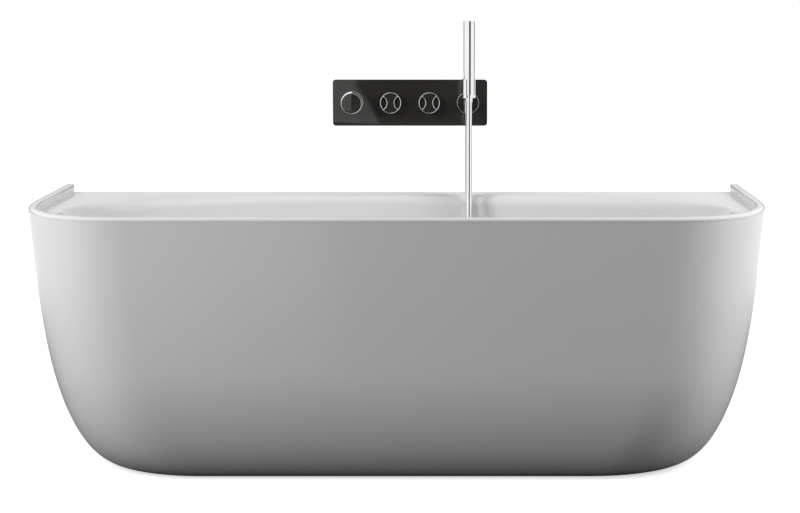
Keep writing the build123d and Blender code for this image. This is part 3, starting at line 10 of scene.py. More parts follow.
import bmesh
import bpy
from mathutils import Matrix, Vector


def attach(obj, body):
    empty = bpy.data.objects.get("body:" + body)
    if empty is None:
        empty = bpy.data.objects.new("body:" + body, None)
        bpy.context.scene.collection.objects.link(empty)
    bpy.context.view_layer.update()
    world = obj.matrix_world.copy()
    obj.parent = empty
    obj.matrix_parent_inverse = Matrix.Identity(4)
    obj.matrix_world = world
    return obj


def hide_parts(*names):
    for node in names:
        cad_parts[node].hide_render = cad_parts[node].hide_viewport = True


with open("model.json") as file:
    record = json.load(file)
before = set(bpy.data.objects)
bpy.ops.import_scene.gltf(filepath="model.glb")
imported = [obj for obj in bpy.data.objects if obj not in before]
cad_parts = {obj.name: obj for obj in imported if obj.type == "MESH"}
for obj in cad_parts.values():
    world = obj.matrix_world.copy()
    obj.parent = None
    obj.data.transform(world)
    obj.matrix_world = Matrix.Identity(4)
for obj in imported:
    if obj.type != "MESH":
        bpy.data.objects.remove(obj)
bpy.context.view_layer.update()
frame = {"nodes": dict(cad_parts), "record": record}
print("CAD pieces", len(frame["nodes"]))


# %% [markdown]
# ## The camera
# The photograph was taken from a little right of the middle, about five metres away, and just
# over the height of the rim. A long lens keeps the sides of the bathtub nearly parallel. The
# picture is a crop, so its middle isn't where the lens points, and a small shift says so.

# %% Camera
IMAGE_WIDTH = 800
FOCAL_PIXELS = 2017.4
MIDDLE_COLUMN = 453.5
SENSOR = 36.0
CAMERA_PLACE = (0.1298, -5.081, 1.1041)
CAMERA_DIP = 0.1349

lens = bpy.data.cameras.new("camera")
lens.sensor_width = SENSOR
lens.lens = FOCAL_PIXELS * SENSOR / IMAGE_WIDTH
lens.shift_x = (IMAGE_WIDTH / 2 - MIDDLE_COLUMN) / IMAGE_WIDTH
camera = bpy.data.objects.new("camera", lens)
camera.location = CAMERA_PLACE
camera.rotation_euler = (math.pi / 2 - CAMERA_DIP, 0, 0)
bpy.context.scene.collection.objects.link(camera)
bpy.context.scene.camera = camera
print("lens, mm", round(lens.lens, 1))


# %% [markdown]
# ## The hose
# A shower hose is one length of smooth, silvery plastic, 15 mm thick. It could be a mesh tube,
# but a curve with a round section is made for it: a NURBS spline bends gently between its
# control points, as a hose does. It leaves the outlet under the panel, hangs down into the
# basin, turns in one loop and comes up to the hand shower. The section is one metre deep, and
# each point's radius brings it down to the hose's own, because Blender counts a point's radius
# in the curve's box.

# %% Hose
HOSE_DIAMETER = 0.015
HOSE_POINTS = [
    (0.1661, -0.0450, 0.7777), (0.1661, -0.0458, 0.742), (0.1661, -0.055, 0.705),
    (0.1661, -0.071, 0.654), (0.1662, -0.089, 0.594), (0.1662, -0.100, 0.540),
    (0.1662, -0.108, 0.482), (0.1662, -0.113, 0.422), (0.1663, -0.117, 0.365),
    (0.1663, -0.119, 0.314), (0.1663, -0.124, 0.270), (0.1663, -0.141, 0.238),
    (0.1664, -0.171, 0.219), (0.1665, -0.205, 0.219), (0.1666, -0.235, 0.236),
    (0.1667, -0.251, 0.268), (0.1669, -0.248, 0.309), (0.1671, -0.227, 0.357),
    (0.1673, -0.193, 0.408), (0.1675, -0.155, 0.471), (0.1677, -0.124, 0.545),
    (0.1679, -0.103, 0.625), (0.1681, -0.086, 0.700), (0.1683, -0.0788, 0.764),
    (0.1684, -0.0780, 0.8110),
]

line = bpy.data.curves.new("hose", "CURVE")
line.dimensions = "3D"
line.bevel_depth = 1.0
line.bevel_resolution = 8
line.resolution_u = 10
line.use_fill_caps = True
spline = line.splines.new("NURBS")
spline.points.add(len(HOSE_POINTS) - 1)
for point, place in zip(spline.points, HOSE_POINTS):
    point.co = (*place, 1)
    point.radius = HOSE_DIAMETER / 2
spline.order_u = 3
spline.use_endpoint_u = True
hose = bpy.data.objects.new("hose", line)
bpy.context.scene.collection.objects.link(hose)
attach(hose, "bath")
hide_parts("shower_hose")
print("hose, points", len(HOSE_POINTS))


# %% [markdown]
# ## Finishes as formulas
# A material is a small network of nodes. Placing each node by hand is slow to read, so a finish
# here is written as a formula: a Signal wraps a socket, and adding or multiplying two signals
# adds the Math node that does it. Colours are mixed by a Mix node, because Math turns them grey.

# %% Signal and Finish
class Signal:
    """A value inside a finish. Python's operators on it build Math nodes."""

    def __init__(self, finish, socket):
        self.finish = finish
        self.socket = socket

    def math(self, operation, *values):
        return self.finish.node("ShaderNodeMath", {"operation": operation}, dict(enumerate(values)))

    def __add__(self, other):
        return self.math("ADD", self, other)

    def __mul__(self, other):
        return self.math("MULTIPLY", self, other)

    def __rsub__(self, other):
        return self.math("SUBTRACT", other, self)

    def __pow__(self, other):
        return self.math("POWER", self, other)

    __radd__ = __add__
    __rmul__ = __mul__


class Finish:
    """A material with a Principled shader that reads object coordinates."""

    def __init__(self, name, **values):
        self.material = bpy.data.materials.new(name)
        self.material.use_nodes = True
        self.tree = self.material.node_tree
        self.shader = self.tree.nodes["Principled BSDF"]
        self.place = self.node("ShaderNodeTexCoord", output="Object")
        self.set(**values)

    def node(self, kind, settings=None, values=None, output=0):
        """Adds a node: its settings first, then the values or links of its sockets."""
        node = self.tree.nodes.new(kind)
        for key, value in (settings or {}).items():
            setattr(node, key, value)
        for key, value in (values or {}).items():
            self.feed(node.inputs[key], value)
        return Signal(self, node.outputs[output])

    def feed(self, socket, value):
        if isinstance(value, Signal):
            self.tree.links.new(value.socket, socket)
        else:
            socket.default_value = value

    def set(self, **values):
        """Sets the shader's sockets: base_color stands for Base Color, and so on."""
        for key, value in values.items():
            socket = key.replace("_", " ").title().replace("Ior", "IOR")
            self.feed(self.shader.inputs[socket], value)
        return self

    def noise(self, scale, detail=3.0, stretch=(1, 1, 1)):
        """Fractal noise over the piece, with a scale in bumps per metre, from 0 to 1."""
        where = self.node("ShaderNodeMapping", values={"Vector": self.place, "Scale": stretch})
        values = {"Vector": where, "Scale": scale, "Detail": detail}
        return self.node("ShaderNodeTexNoise", None, values)

    def mix(self, amount, first, second):
        """A colour between two."""
        return self.node("ShaderNodeMix", {"data_type": "RGBA"}, {0: amount, 6: first, 7: second}, 2)

    def bump(self, height, depth, strength=1.0):
        """Small relief: depth is in metres."""
        normal = self.node("ShaderNodeBump", None,
                           {"Height": height, "Distance": depth, "Strength": strength})
        return self.set(normal=normal)


# %% [markdown]
# ## The finishes
# The shells are cast in white acrylic and polished: almost plain, with a slow drift of tone and
# a very fine ripple in the gloss. The fittings are chromed brass, with faint smears that change
# the roughness. The panel and the caps are black glass. Hidden pieces get the finish of their
# trade: galvanised steel, raw board, rubber, moulded plastic, brass and copper.

# %% White acrylic, chrome and black glass
acrylic = Finish("white_acrylic", roughness=0.16, ior=1.49)
tone = acrylic.noise(1.6)
acrylic.set(base_color=acrylic.mix(tone, (0.79, 0.79, 0.79, 1), (0.82, 0.817, 0.82, 1)),
            roughness=0.12 + 0.06 * acrylic.noise(5.0))
acrylic.bump(acrylic.noise(38.0, 2.0), 0.00006, 0.5)

chrome = Finish("chrome", metallic=1.0, base_color=(0.91, 0.915, 0.92, 1))
chrome.set(roughness=0.05 + 0.07 * chrome.noise(45.0) ** 2)
chrome.bump(chrome.noise(260.0, 2.0), 0.000004, 0.4)

black_glass = Finish("black_glass", ior=1.52, base_color=(0.029, 0.0272, 0.0230, 1))
black_glass.set(roughness=0.03 + 0.05 * black_glass.noise(22.0) ** 3)

black_trim = Finish("black_trim", base_color=(0.014, 0.014, 0.014, 1))
black_trim.set(roughness=0.16 + 0.1 * black_trim.noise(90.0))


# %% Hose, rubber and the hidden trades
silver_hose = Finish("silver_hose", metallic=1.0)
sheen = silver_hose.noise(25.0)
silver_hose.set(base_color=silver_hose.mix(sheen, (0.80, 0.81, 0.82, 1), (0.90, 0.905, 0.91, 1)),
                roughness=0.07 + 0.07 * silver_hose.noise(60.0))

rubber = Finish("black_rubber", base_color=(0.022, 0.022, 0.023, 1))
rubber.set(roughness=0.62 + 0.2 * rubber.noise(300.0))
rubber.bump(rubber.noise(1500.0), 0.00004, 0.5)

zinc = Finish("zinc_steel", metallic=1.0)
spangle = zinc.node("ShaderNodeTexVoronoi", None, {"Vector": zinc.place, "Scale": 140.0}, 1)
zinc.set(base_color=zinc.mix(0.8, spangle, (0.60, 0.62, 0.64, 1)),
         roughness=0.32 + 0.15 * zinc.noise(80.0))

board = Finish("composite_board")
fibres = board.noise(55.0, 6.0, (1, 6, 6))
board.set(base_color=board.mix(fibres, (0.42, 0.30, 0.18, 1), (0.68, 0.53, 0.35, 1)), roughness=0.75)
board.bump(board.noise(400.0), 0.0003, 0.6)


def moulded(name, colour, roughness):
    """Moulded plastic: plain, a little uneven in gloss, with a fine grain."""
    finish = Finish(name)
    darker = tuple(0.86 * c for c in colour)
    finish.set(base_color=finish.mix(finish.noise(12.0), (*darker, 1), (*colour, 1)),
               roughness=roughness + 0.12 * finish.noise(140.0))
    return finish.bump(finish.noise(1100.0), 0.00003, 0.4)


def cast(name, bright, dull):
    """Bare metal: bright where handled, duller in patches."""
    finish = Finish(name, metallic=1.0)
    patches = finish.noise(35.0, 5.0)
    finish.set(base_color=finish.mix(patches, (*bright, 1), (*dull, 1)),
               roughness=0.22 + 0.25 * patches)
    return finish.bump(finish.noise(500.0), 0.00003, 0.5)


white_plastic = moulded("white_plastic", (0.84, 0.84, 0.82), 0.38)
grey_plastic = moulded("grey_plastic", (0.17, 0.175, 0.18), 0.45)
cartridge_plastic = moulded("cartridge_plastic", (0.74, 0.70, 0.58), 0.42)
brass = cast("brass", (0.80, 0.61, 0.30), (0.60, 0.42, 0.19))
copper = cast("copper_pipe", (0.86, 0.49, 0.33), (0.62, 0.31, 0.20))
aluminium = cast("aluminium", (0.78, 0.79, 0.80), (0.66, 0.67, 0.68))

FINISHES = {
    "white_acrylic": acrylic, "chrome": chrome, "black_glass": black_glass, "black_trim": black_trim,
    "silver_hose": silver_hose, "black_rubber": rubber, "zinc_steel": zinc, "composite_board": board,
    "white_plastic": white_plastic, "grey_plastic": grey_plastic,
    "cartridge_plastic": cartridge_plastic, "brass": brass, "copper_pipe": copper,
    "aluminium": aluminium,
}


def wear(piece, slot):
    """Gives a piece the finish of one of the record's slots."""
    piece.data.materials.clear()
    piece.data.materials.append(FINISHES[slot].material)


wear(hose, "silver_hose")
for part in frame["record"]["subparts"]:
    wear(frame["nodes"][part["node"]], part["material_slot"])
print("finishes", len(FINISHES))


# %% [markdown]
# ## Tools for modelling
# Every piece starts as a primitive and is shaped in edit mode, as by hand. A few helpers keep
# the cells short: one starts a piece with nothing else selected, one picks faces, edges or
# corners by their place, and one finishes a piece: it sets smooth shading and the finish,
# hangs it on the body that carries it and hides the CAD pieces that it stands for.

# %% Start, select, pick
def start(operator, name, **settings):
    """Adds a primitive as a new piece, with nothing else selected."""
    bpy.ops.object.select_all(action="DESELECT")
    operator(**settings)
    piece = bpy.context.active_object
    piece.name = piece.data.name = name
    return piece


def select(*pieces):
    """Selects these pieces and no others, and makes the first active."""
    bpy.ops.object.select_all(action="DESELECT")
    for piece in pieces:
        piece.select_set(True)
    bpy.context.view_layer.objects.active = pieces[0]


def edit(piece):
    """Opens one piece in edit mode."""
    select(piece)
    bpy.ops.object.mode_set(mode="EDIT")


def leave():
    """Goes back to object mode."""
    bpy.ops.object.mode_set(mode="OBJECT")


def pick(piece, kind, test):
    """Selects the verts, edges or faces whose middle passes a test, in edit mode."""
    bpy.ops.mesh.select_mode(type={"verts": "VERT", "edges": "EDGE", "faces": "FACE"}[kind])
    bpy.ops.mesh.select_all(action="DESELECT")
    mesh = bmesh.from_edit_mesh(piece.data)
    for item in getattr(mesh, kind):
        corners = [item] if kind == "verts" else item.verts
        middle = sum((v.co for v in corners), Vector()) / len(corners)
        if test(middle):
            item.select_set(True)
    bmesh.update_edit_mesh(piece.data)


# %% Turn, join, modify, finish
def outwards():
    """Joins doubles and turns every face outwards, in edit mode."""
    bpy.ops.mesh.select_all(action="SELECT")
    bpy.ops.mesh.remove_doubles(threshold=0.00001)
    bpy.ops.mesh.normals_make_consistent(inside=False)


def flip(piece):
    """Turns every face of an open skin the other way."""
    edit(piece)
    bpy.ops.mesh.select_all(action="SELECT")
    bpy.ops.mesh.flip_normals()
    leave()


def join(pieces):
    """Joins pieces into the first."""
    select(*pieces)
    bpy.ops.object.join()
    return pieces[0]


def modify(piece, kind, **settings):
    """Adds one modifier and applies it."""
    modifier = piece.modifiers.new(kind.lower(), kind)
    for key, value in settings.items():
        setattr(modifier, key, value)
    select(piece)
    bpy.ops.object.modifier_apply(modifier=modifier.name)


def settle(piece):
    """Puts a piece's place into its mesh."""
    select(piece)
    bpy.ops.object.transform_apply(location=True, rotation=True, scale=True)


def done(piece, body, slot, nodes=(), smooth=35):
    """Finishes a piece: smooth shading, finish, body and the CAD pieces that it replaces."""
    select(piece)
    bpy.ops.object.shade_smooth_by_angle(angle=math.radians(smooth))
    wear(piece, slot)
    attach(piece, body)
    if nodes:
        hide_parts(*nodes)
    print(piece.name, "faces", len(piece.data.polygons))
    return piece


# %% [markdown]
# ## Skins from rings
# The two shells are skins over a stack of plans: each height has its own outline. A ring of
# corners is extruded once for every next height, and the new corners are then moved to their
# places on the next outline. The corners of all rings match, so the faces run in clean rows.

# %% Ring stacks
def place_selected(piece, places):
    """Moves the selected corners, in their order around the ring, to the given places."""
    mesh = bmesh.from_edit_mesh(piece.data)
    chosen = [v for v in mesh.verts if v.select]
    for corner, place in zip(sorted(chosen, key=lambda v: v.index), places):
        corner.co = place
    bmesh.update_edit_mesh(piece.data)


def ring_stack(name, rings):
    """A skin through matching rings of places, with no faces at its two ends."""
    count = len(rings[0])
    piece = start(bpy.ops.mesh.primitive_circle_add, name, vertices=count, radius=1)
    edit(piece)
    bpy.ops.mesh.select_mode(type="VERT")
    bpy.ops.mesh.select_all(action="SELECT")
    place_selected(piece, rings[0])
    for ring in rings[1:]:
        bpy.ops.mesh.extrude_region_move()
        mesh = bmesh.from_edit_mesh(piece.data)
        mesh.verts.index_update()
        place_selected(piece, ring)
    return piece


# %% [markdown]
# ## The plan of the bathtub
# Seen from above the bathtub is a D: straight along the wall, straight for a while down both
# ends, then two large soft corners and a straight front. The corners aren't arcs of a circle:
# a Bezier curve starts more slowly, as the moulder's spline did.

# %% Plans
LENGTH = 1.700
DEPTH = 0.750
HEIGHT = 0.600
CORNER_ALONG = 0.265
CORNER_ACROSS = 0.365
CORNER_FULLNESS = 0.64


def bezier(points, t):
    """A point on a cubic Bezier curve, in plan."""
    s = 1 - t
    weights = (s**3, 3 * s * s * t, 3 * s * t * t, t**3)
    return tuple(sum(w * p[k] for w, p in zip(weights, points)) for k in (0, 1))


def evenly(points, count):
    """count + 1 places at even distances along a polyline in plan."""
    steps = [math.dist(a, b) for a, b in zip(points, points[1:])]
    total = sum(steps)
    places, index, walked = [], 0, 0.0
    for k in range(count + 1):
        target = total * k / count
        while index < len(steps) - 1 and walked + steps[index] < target:
            walked += steps[index]
            index += 1
        share = min(1.0, (target - walked) / steps[index])
        a, b = points[index], points[index + 1]
        places.append((a[0] + share * (b[0] - a[0]), a[1] + share * (b[1] - a[1])))
    return places


CORNER_STEPS = 200
SIDE_COUNT = 10
BEND_COUNT = 34
FRONT_COUNT = 26


def half_d(half_length, reach, along, across):
    """The D's right half in plan, from the wall to the middle of the front."""
    side_end = across - reach
    front_end = half_length - along
    pull_x = front_end + CORNER_FULLNESS * along
    pull_y = side_end - CORNER_FULLNESS * across
    corner = ((half_length, side_end), (half_length, pull_y), (pull_x, -reach), (front_end, -reach))
    bend = [bezier(corner, k / CORNER_STEPS) for k in range(CORNER_STEPS + 1)]
    side = evenly([(half_length, 0.0), (half_length, side_end)], SIDE_COUNT)
    front = evenly([(front_end, -reach), (0.0, -reach)], FRONT_COUNT)
    return side[:-1] + evenly(bend, BEND_COUNT) + front[1:]


def whole(half, z):
    """Both halves of a plan as one ring of places at a height, from the right round to the left."""
    left = [(-x, y) for x, y in reversed(half[:-1])]
    return [(x, y, z) for x, y in half + left]


def rolled(z, top, base, lean, roll, roll_height):
    """How far a wall has drawn in at height z: a lean, then a quarter ellipse to the base."""
    below = min(1.0, max(0.0, (base + roll_height - z) / roll_height))
    return lean * (top - z) + roll * (1 - math.sqrt(1 - below**2))


def roll_levels(low, high, height, count):
    """Heights round a roll of that height above 0, crowded towards the floor, from low to high."""
    first = math.acos(1 - low / height)
    last = math.acos(1 - high / height)
    return [height * (1 - math.cos(first + (last - first) * k / count)) for k in range(count + 1)]


# %% [markdown]
# ## The outer shell
# The outer shell is a thin moulded apron. It leans in a little from the rim, then rolls under
# towards the floor, more at the ends than in front, and turns in with a narrow flange that the
# fitter seals to the floor. It is a ring stack, opened at the wall and thickened to 5 mm.

# %% Outer shell
APRON_TOP = 0.592
APRON_WALL = 0.005
FLOOR_JOINT = 0.002
END_LEAN = 0.078
END_ROLL = 0.115
END_ROLL_HEIGHT = 0.423
FRONT_LEAN = 0.050
FRONT_ROLL = 0.089
FRONT_ROLL_HEIGHT = 0.250


def apron_ring(z, inset=0.0):
    """The apron's plan at height z, drawn in by inset."""
    ends = rolled(z, HEIGHT, 0, END_LEAN, END_ROLL, END_ROLL_HEIGHT) + inset
    front = rolled(z, HEIGHT, 0, FRONT_LEAN, FRONT_ROLL, FRONT_ROLL_HEIGHT) + inset
    return whole(half_d(LENGTH / 2 - ends, DEPTH - front, CORNER_ALONG, CORNER_ACROSS), z)


levels = roll_levels(FLOOR_JOINT, FRONT_ROLL_HEIGHT, FRONT_ROLL_HEIGHT, 22)
levels += [FRONT_ROLL_HEIGHT + (APRON_TOP - FRONT_ROLL_HEIGHT) * k / 14 for k in range(1, 15)]
flange = [apron_ring(FLOOR_JOINT, inset) for inset in (0.040, 0.030, 0.015, 0.005)]
apron = ring_stack("apron", flange + [apron_ring(z) for z in levels])
pick(apron, "faces", lambda c: abs(c.x) < 0.01 and c.y > -0.001)
bpy.ops.mesh.delete(type="FACE")
outwards()
leave()
front_face = max(apron.data.polygons, key=lambda f: -f.center.y)
if front_face.normal.y > 0:
    flip(apron)
modify(apron, "SOLIDIFY", thickness=APRON_WALL, offset=-1.0)
done(apron, "bath", "white_acrylic", ["outer_panel"], smooth=40)


# %% [markdown]
# ## The inner shell
# The inner shell is one moulding: a raised lip on three sides, a flat ledge behind it that runs
# back to the wall, and the basin with a softly rounded edge. The basin's plan is an oval, fuller
# in front than behind. Its rings are spaced by distance along the oval, and the ledge is the
# band of faces between the oval and the D.

# %% Basin plan
SHELL_WALL = 0.005
LEDGE = 0.580
LIP_WIDTH = 0.020
BASIN_FLOOR = 0.150
BASIN_WIDEST = -0.420
BASIN_HALF_LENGTH = 0.790
BASIN_TO_FRONT = 0.285
BASIN_TO_WALL = 0.370
BASIN_END_LEAN = 0.28
BASIN_END_ROLL = 0.150
BASIN_SIDE_LEAN = 0.07
BASIN_SIDE_ROLL = 0.080
BASIN_ROLL_HEIGHT = 0.170
EDGE_ROUND = 0.028
EDGE_ANGLE = math.radians(20)
EDGE_BASE = LEDGE - EDGE_ROUND * math.cos(EDGE_ANGLE)
BACK_COUNT = 34
OVAL_COUNT = BACK_COUNT + SIDE_COUNT + BEND_COUNT + FRONT_COUNT


def half_oval(half_length, to_front, to_wall):
    """The basin's right half in plan, from its back to its front."""
    back = BASIN_WIDEST + to_wall
    front = BASIN_WIDEST - to_front
    rear = ((0, back), (0.57 * half_length, back), (half_length, BASIN_WIDEST + 0.57 * to_wall),
            (half_length, BASIN_WIDEST))
    fore = ((half_length, BASIN_WIDEST), (half_length, BASIN_WIDEST - 0.64 * to_front),
            (0.78 * half_length, front), (0, front))
    points = [bezier(rear, k / CORNER_STEPS) for k in range(CORNER_STEPS)]
    points += [bezier(fore, k / CORNER_STEPS) for k in range(CORNER_STEPS + 1)]
    return evenly(points, OVAL_COUNT)


def closed(half, z):
    """A closed ring from a half plan that starts and ends on the middle line."""
    return [(x, y, z) for x, y in half + [(-x, y) for x, y in reversed(half[1:-1])]]


def basin_ring(z, ends, sides):
    """The oval at height z, drawn in at its ends and sides."""
    return closed(half_oval(BASIN_HALF_LENGTH - ends, BASIN_TO_FRONT - sides, BASIN_TO_WALL - sides), z)


def wall_ring(z):
    """The basin's wall at height z, below its rounded edge."""
    ends = rolled(z, EDGE_BASE, BASIN_FLOOR, BASIN_END_LEAN, BASIN_END_ROLL, BASIN_ROLL_HEIGHT)
    sides = rolled(z, EDGE_BASE, BASIN_FLOOR, BASIN_SIDE_LEAN, BASIN_SIDE_ROLL, BASIN_ROLL_HEIGHT)
    return basin_ring(z, EDGE_ROUND + ends, EDGE_ROUND + sides)


def lip_half(inset):
    """The D's right half, drawn in all round."""
    return half_d(LENGTH / 2 - inset, DEPTH - inset, CORNER_ALONG - inset, CORNER_ACROSS - inset)


def ledge_ring():
    """The ledge's outline: along the wall, then the lip's foot round the D."""
    half = lip_half(LIP_WIDTH)
    back = evenly([(0.0, 0.0), half[0]], BACK_COUNT)
    return closed(back[:-1] + half, LEDGE)


# %% Basin and ledge
edge_rings = []
for k in range(9):
    turn = EDGE_ANGLE + (math.pi / 2 - EDGE_ANGLE) * k / 8
    inset = EDGE_ROUND * math.sin(turn)
    edge_rings.append(basin_ring(EDGE_BASE + EDGE_ROUND * math.cos(turn), inset, inset))
ROLL_TOP = BASIN_FLOOR + BASIN_ROLL_HEIGHT
straight = [wall_ring(EDGE_BASE + (ROLL_TOP - EDGE_BASE) * k / 8) for k in range(1, 9)]
roll_steps = roll_levels(0.0, BASIN_ROLL_HEIGHT, BASIN_ROLL_HEIGHT, 18)
roll = [wall_ring(BASIN_FLOOR + z) for z in reversed(roll_steps)][1:]
floor_ring = roll[-1]
WASTE = Vector((0.0, -0.378, BASIN_FLOOR))
WASTE_HOLE = 0.026
hole = []
for place in floor_ring:
    away = (Vector(place) - WASTE).normalized()
    hole.append(tuple(WASTE + WASTE_HOLE * away))
floor_rings = []
for share in (0.25, 0.5, 0.75, 0.92, 1.0):
    floor_rings.append([tuple(Vector(a).lerp(Vector(b), share)) for a, b in zip(floor_ring, hole)])
shell = ring_stack("shell", [ledge_ring(), *edge_rings, *straight, *roll, *floor_rings])
leave()
print("basin faces", len(shell.data.polygons))


# %% Lip
INNER_ROUND = 0.004
OUTER_ROUND = 0.007
quarter = [math.radians(15 * k) for k in range(7)]
lip_profile = [(LIP_WIDTH, LEDGE), (LIP_WIDTH, 0.588)]
for a in quarter:
    lip_profile.append((LIP_WIDTH - INNER_ROUND * (1 - math.cos(a)),
                        HEIGHT - INNER_ROUND * (1 - math.sin(a))))
lip_profile.append((0.012, HEIGHT))
for a in quarter:
    lip_profile.append((OUTER_ROUND * (1 - math.sin(a)), HEIGHT - OUTER_ROUND * (1 - math.cos(a))))
lip_profile += [(0.0, APRON_TOP)]
lip = ring_stack("lip", [whole(lip_half(inset), z) for inset, z in lip_profile])
pick(lip, "faces", lambda c: abs(c.x) < 0.01 and c.y > -0.001)
bpy.ops.mesh.delete(type="FACE")
leave()


# %% Join them and give the shell its wall
join([shell, lip])
edit(shell)
pick(shell, "edges", lambda c: c.y > -0.0001 and abs(c.z - LEDGE) < 0.0001)
bpy.ops.mesh.extrude_region_move(TRANSFORM_OT_translate={"value": (0, 0, -0.030)})
outwards()
leave()
floor_face = min(shell.data.polygons, key=lambda f: f.center.z)
if floor_face.normal.z < 0:
    flip(shell)
modify(shell, "SOLIDIFY", thickness=SHELL_WALL, offset=-1.0)
done(shell, "bath", "white_acrylic", ["basin_shell"], smooth=32)


# %% [markdown]
# ## Turned pieces
# Knobs, rings and caps are turned on a lathe from brass bar, then chromed. The profile is a list
# of radius and distance along the axis, and a ring of corners is extruded through it. Two
# straight edges that meet on a real part are never sharp: a fine bevel catches the light.

# %% A lathe
TURN_COUNT = 96


def soften(piece, width, segments, angle):
    """Bevels every edge that turns by more than an angle in degrees."""
    modify(piece, "BEVEL", width=width, segments=segments, limit_method="ANGLE",
           angle_limit=math.radians(angle))


def turned(name, profile, centre, bevel):
    """A turned piece, in metres: the profile's distances run from the centre towards the front."""
    rings = []
    for radius, along in profile:
        ring = []
        for k in range(TURN_COUNT):
            turn = 2 * math.pi * k / TURN_COUNT
            offset = (radius * math.cos(turn), -along, radius * math.sin(turn))
            ring.append(tuple(c + o for c, o in zip(centre, offset)))
        rings.append(ring)
    piece = ring_stack(name, rings)
    outwards()
    bpy.ops.mesh.select_all(action="SELECT")
    bpy.ops.mesh.fill_holes(sides=0)
    bpy.ops.mesh.normals_make_consistent(inside=False)
    leave()
    soften(piece, bevel, 3, 40)
    return piece


# %% [markdown]
# ## The glass panel
# The mixer's front is one sheet of black glass, 6 mm thick, with its corners rounded and its
# edges ground. A ground edge is what shows that it is glass: it draws a thin pale line round
# the sheet. A cube is beveled at its four corners, and then all round its faces.

# %% Glass panel
PANEL = Vector((0.0206, -0.007, 0.8055))
PANEL_SIZE = Vector((0.388, 0.006, 0.116))
PANEL_CORNER = 0.008
GROUND_EDGE = 0.0010
panel = start(bpy.ops.mesh.primitive_cube_add, "panel", size=1, location=PANEL, scale=PANEL_SIZE)
settle(panel)
edit(panel)
side = PANEL_SIZE.x / 2 - 0.001
pick(panel, "edges", lambda c: abs(c.y - PANEL.y) < 0.001 and abs(c.x - PANEL.x) > side)
bpy.ops.mesh.bevel(offset=PANEL_CORNER, segments=10, affect="EDGES")
leave()
soften(panel, GROUND_EDGE, 4, 50)
done(panel, "bath", "black_glass", ["glass_panel"], smooth=30)


# %% [markdown]
# ## The temperature knob
# The first knob is the only long one: a chromed drum with a black glass disc let into its front,
# so that only a thin chrome rim is left around it.

# %% Temperature knob
TEMPERATURE_X = -0.1249
BATH_X = -0.0279
SHOWER_X = 0.0691
OUTLET_X = 0.1661
KNOB_BACK = -0.0135
drum = turned("temperature_drum", [(0.0255, 0.0), (0.0255, 0.038), (0.0244, 0.038), (0.0244, 0.0365)],
              (TEMPERATURE_X, KNOB_BACK, PANEL.z), bevel=0.0005)
done(drum, "temperature_knob", "chrome", ["temperature_knob_body"])
disc = turned("temperature_disc", [(0.0243, 0.0366), (0.0243, 0.0378)],
              (TEMPERATURE_X, KNOB_BACK, PANEL.z), bevel=0.0003)
done(disc, "temperature_knob", "black_glass", ["temperature_knob_cap"])


# %% [markdown]
# ## The valve knobs
# The two middle knobs are low cups with two lens-shaped scoops for a finger and a thumb. The
# walls of the scoops are arcs: a small square section is carried round each arc, and its edges
# are rounded over, so that chrome shows as a bright line whichever way it faces.

# %% Valve knobs
SCOOP_OUT = 0.0282
SCOOP_INNER = 0.0187
SCOOP_OUTER = 0.0208
CUP_FLOOR = 0.0034
WALL_FRONT = 0.0099


def scoop_wall(x, side):
    """One curved wall, from rim to rim."""
    square = ((SCOOP_INNER, CUP_FLOOR), (SCOOP_INNER, WALL_FRONT), (SCOOP_OUTER, WALL_FRONT),
              (SCOOP_OUTER, CUP_FLOOR))
    sections = []
    for k in range(29):
        turn = math.radians(-60 + 120 * k / 28)
        sections.append([(x + side * (SCOOP_OUT - radius * math.cos(turn)), KNOB_BACK - along,
                          PANEL.z + radius * math.sin(turn)) for radius, along in square])
    wall = ring_stack("scoop_wall", sections)
    bpy.ops.mesh.select_all(action="SELECT")
    bpy.ops.mesh.fill_holes(sides=0)
    outwards()
    leave()
    soften(wall, 0.0009, 4, 40)
    return wall


def valve_knob(name, x, body, node):
    """A cup with its two scoop walls."""
    cup = turned(name, [(0.0263, 0.0), (0.0263, 0.010), (0.0245, 0.010), (0.0245, CUP_FLOOR)],
                 (x, KNOB_BACK, PANEL.z), bevel=0.0008)
    knob = join([cup, scoop_wall(x, -1), scoop_wall(x, 1)])
    return done(knob, body, "chrome", [node])


valve_knob("bath_valve_knob", BATH_X, "bath_knob", "bath_knob_body")
valve_knob("shower_valve_knob", SHOWER_X, "shower_knob", "shower_knob_body")


# %% [markdown]
# ## The rings on the glass
# A fixed ring under each knob hides the hole in the glass, and a thinner one frames the outlet.
# Both are turned with a rounded front.

# %% Rings on the glass
def ring(name, x, outer, inner, bevel):
    """A flat ring on the glass, 3 mm thick, with its edges softened."""
    return turned(name, [(inner, 0.0), (outer, 0.0), (outer, 0.003), (inner, 0.003), (inner, 0.0)],
                  (x, -0.010, PANEL.z), bevel=bevel)


places = ((TEMPERATURE_X, 0.028), (BATH_X, 0.0253), (SHOWER_X, 0.0253))
rings = join([ring("base_rings", x, outer, 0.020, 0.0009) for x, outer in places])
done(rings, "bath", "chrome", ["knob_base_rings"])
frame_ring = ring("outlet_ring", OUTLET_X, 0.0273, 0.0264, 0.0004)
done(frame_ring, "bath", "chrome", ["rosette_ring"])


# %% [markdown]
# ## The studio
# The floor is white paper to the camera, and to gloss far from the bathtub, and it keeps a soft
# shadow under the bathtub. Near the bathtub gloss sees it dimmed to about a third: painted shade
# that keeps the reflection in the rolled-under foot dark. To soft light it is nearly black, painted
# shade as well, or it would fill the rolled-under foot with light.
# The light itself is a broad, dim sky, a weak lamp over the bathtub, and a large one at each end,
# so the front is left in soft shade. What gloss sees is drawn apart from that, in two dark zones.

# %% Floor
ground = start(bpy.ops.mesh.primitive_plane_add, "ground", size=40, location=(0, 0, -0.0005))
BLACK = (0, 0, 0, 1)
WHITE = (1, 1, 1, 1)
ZONE_DEPTH = 0.93


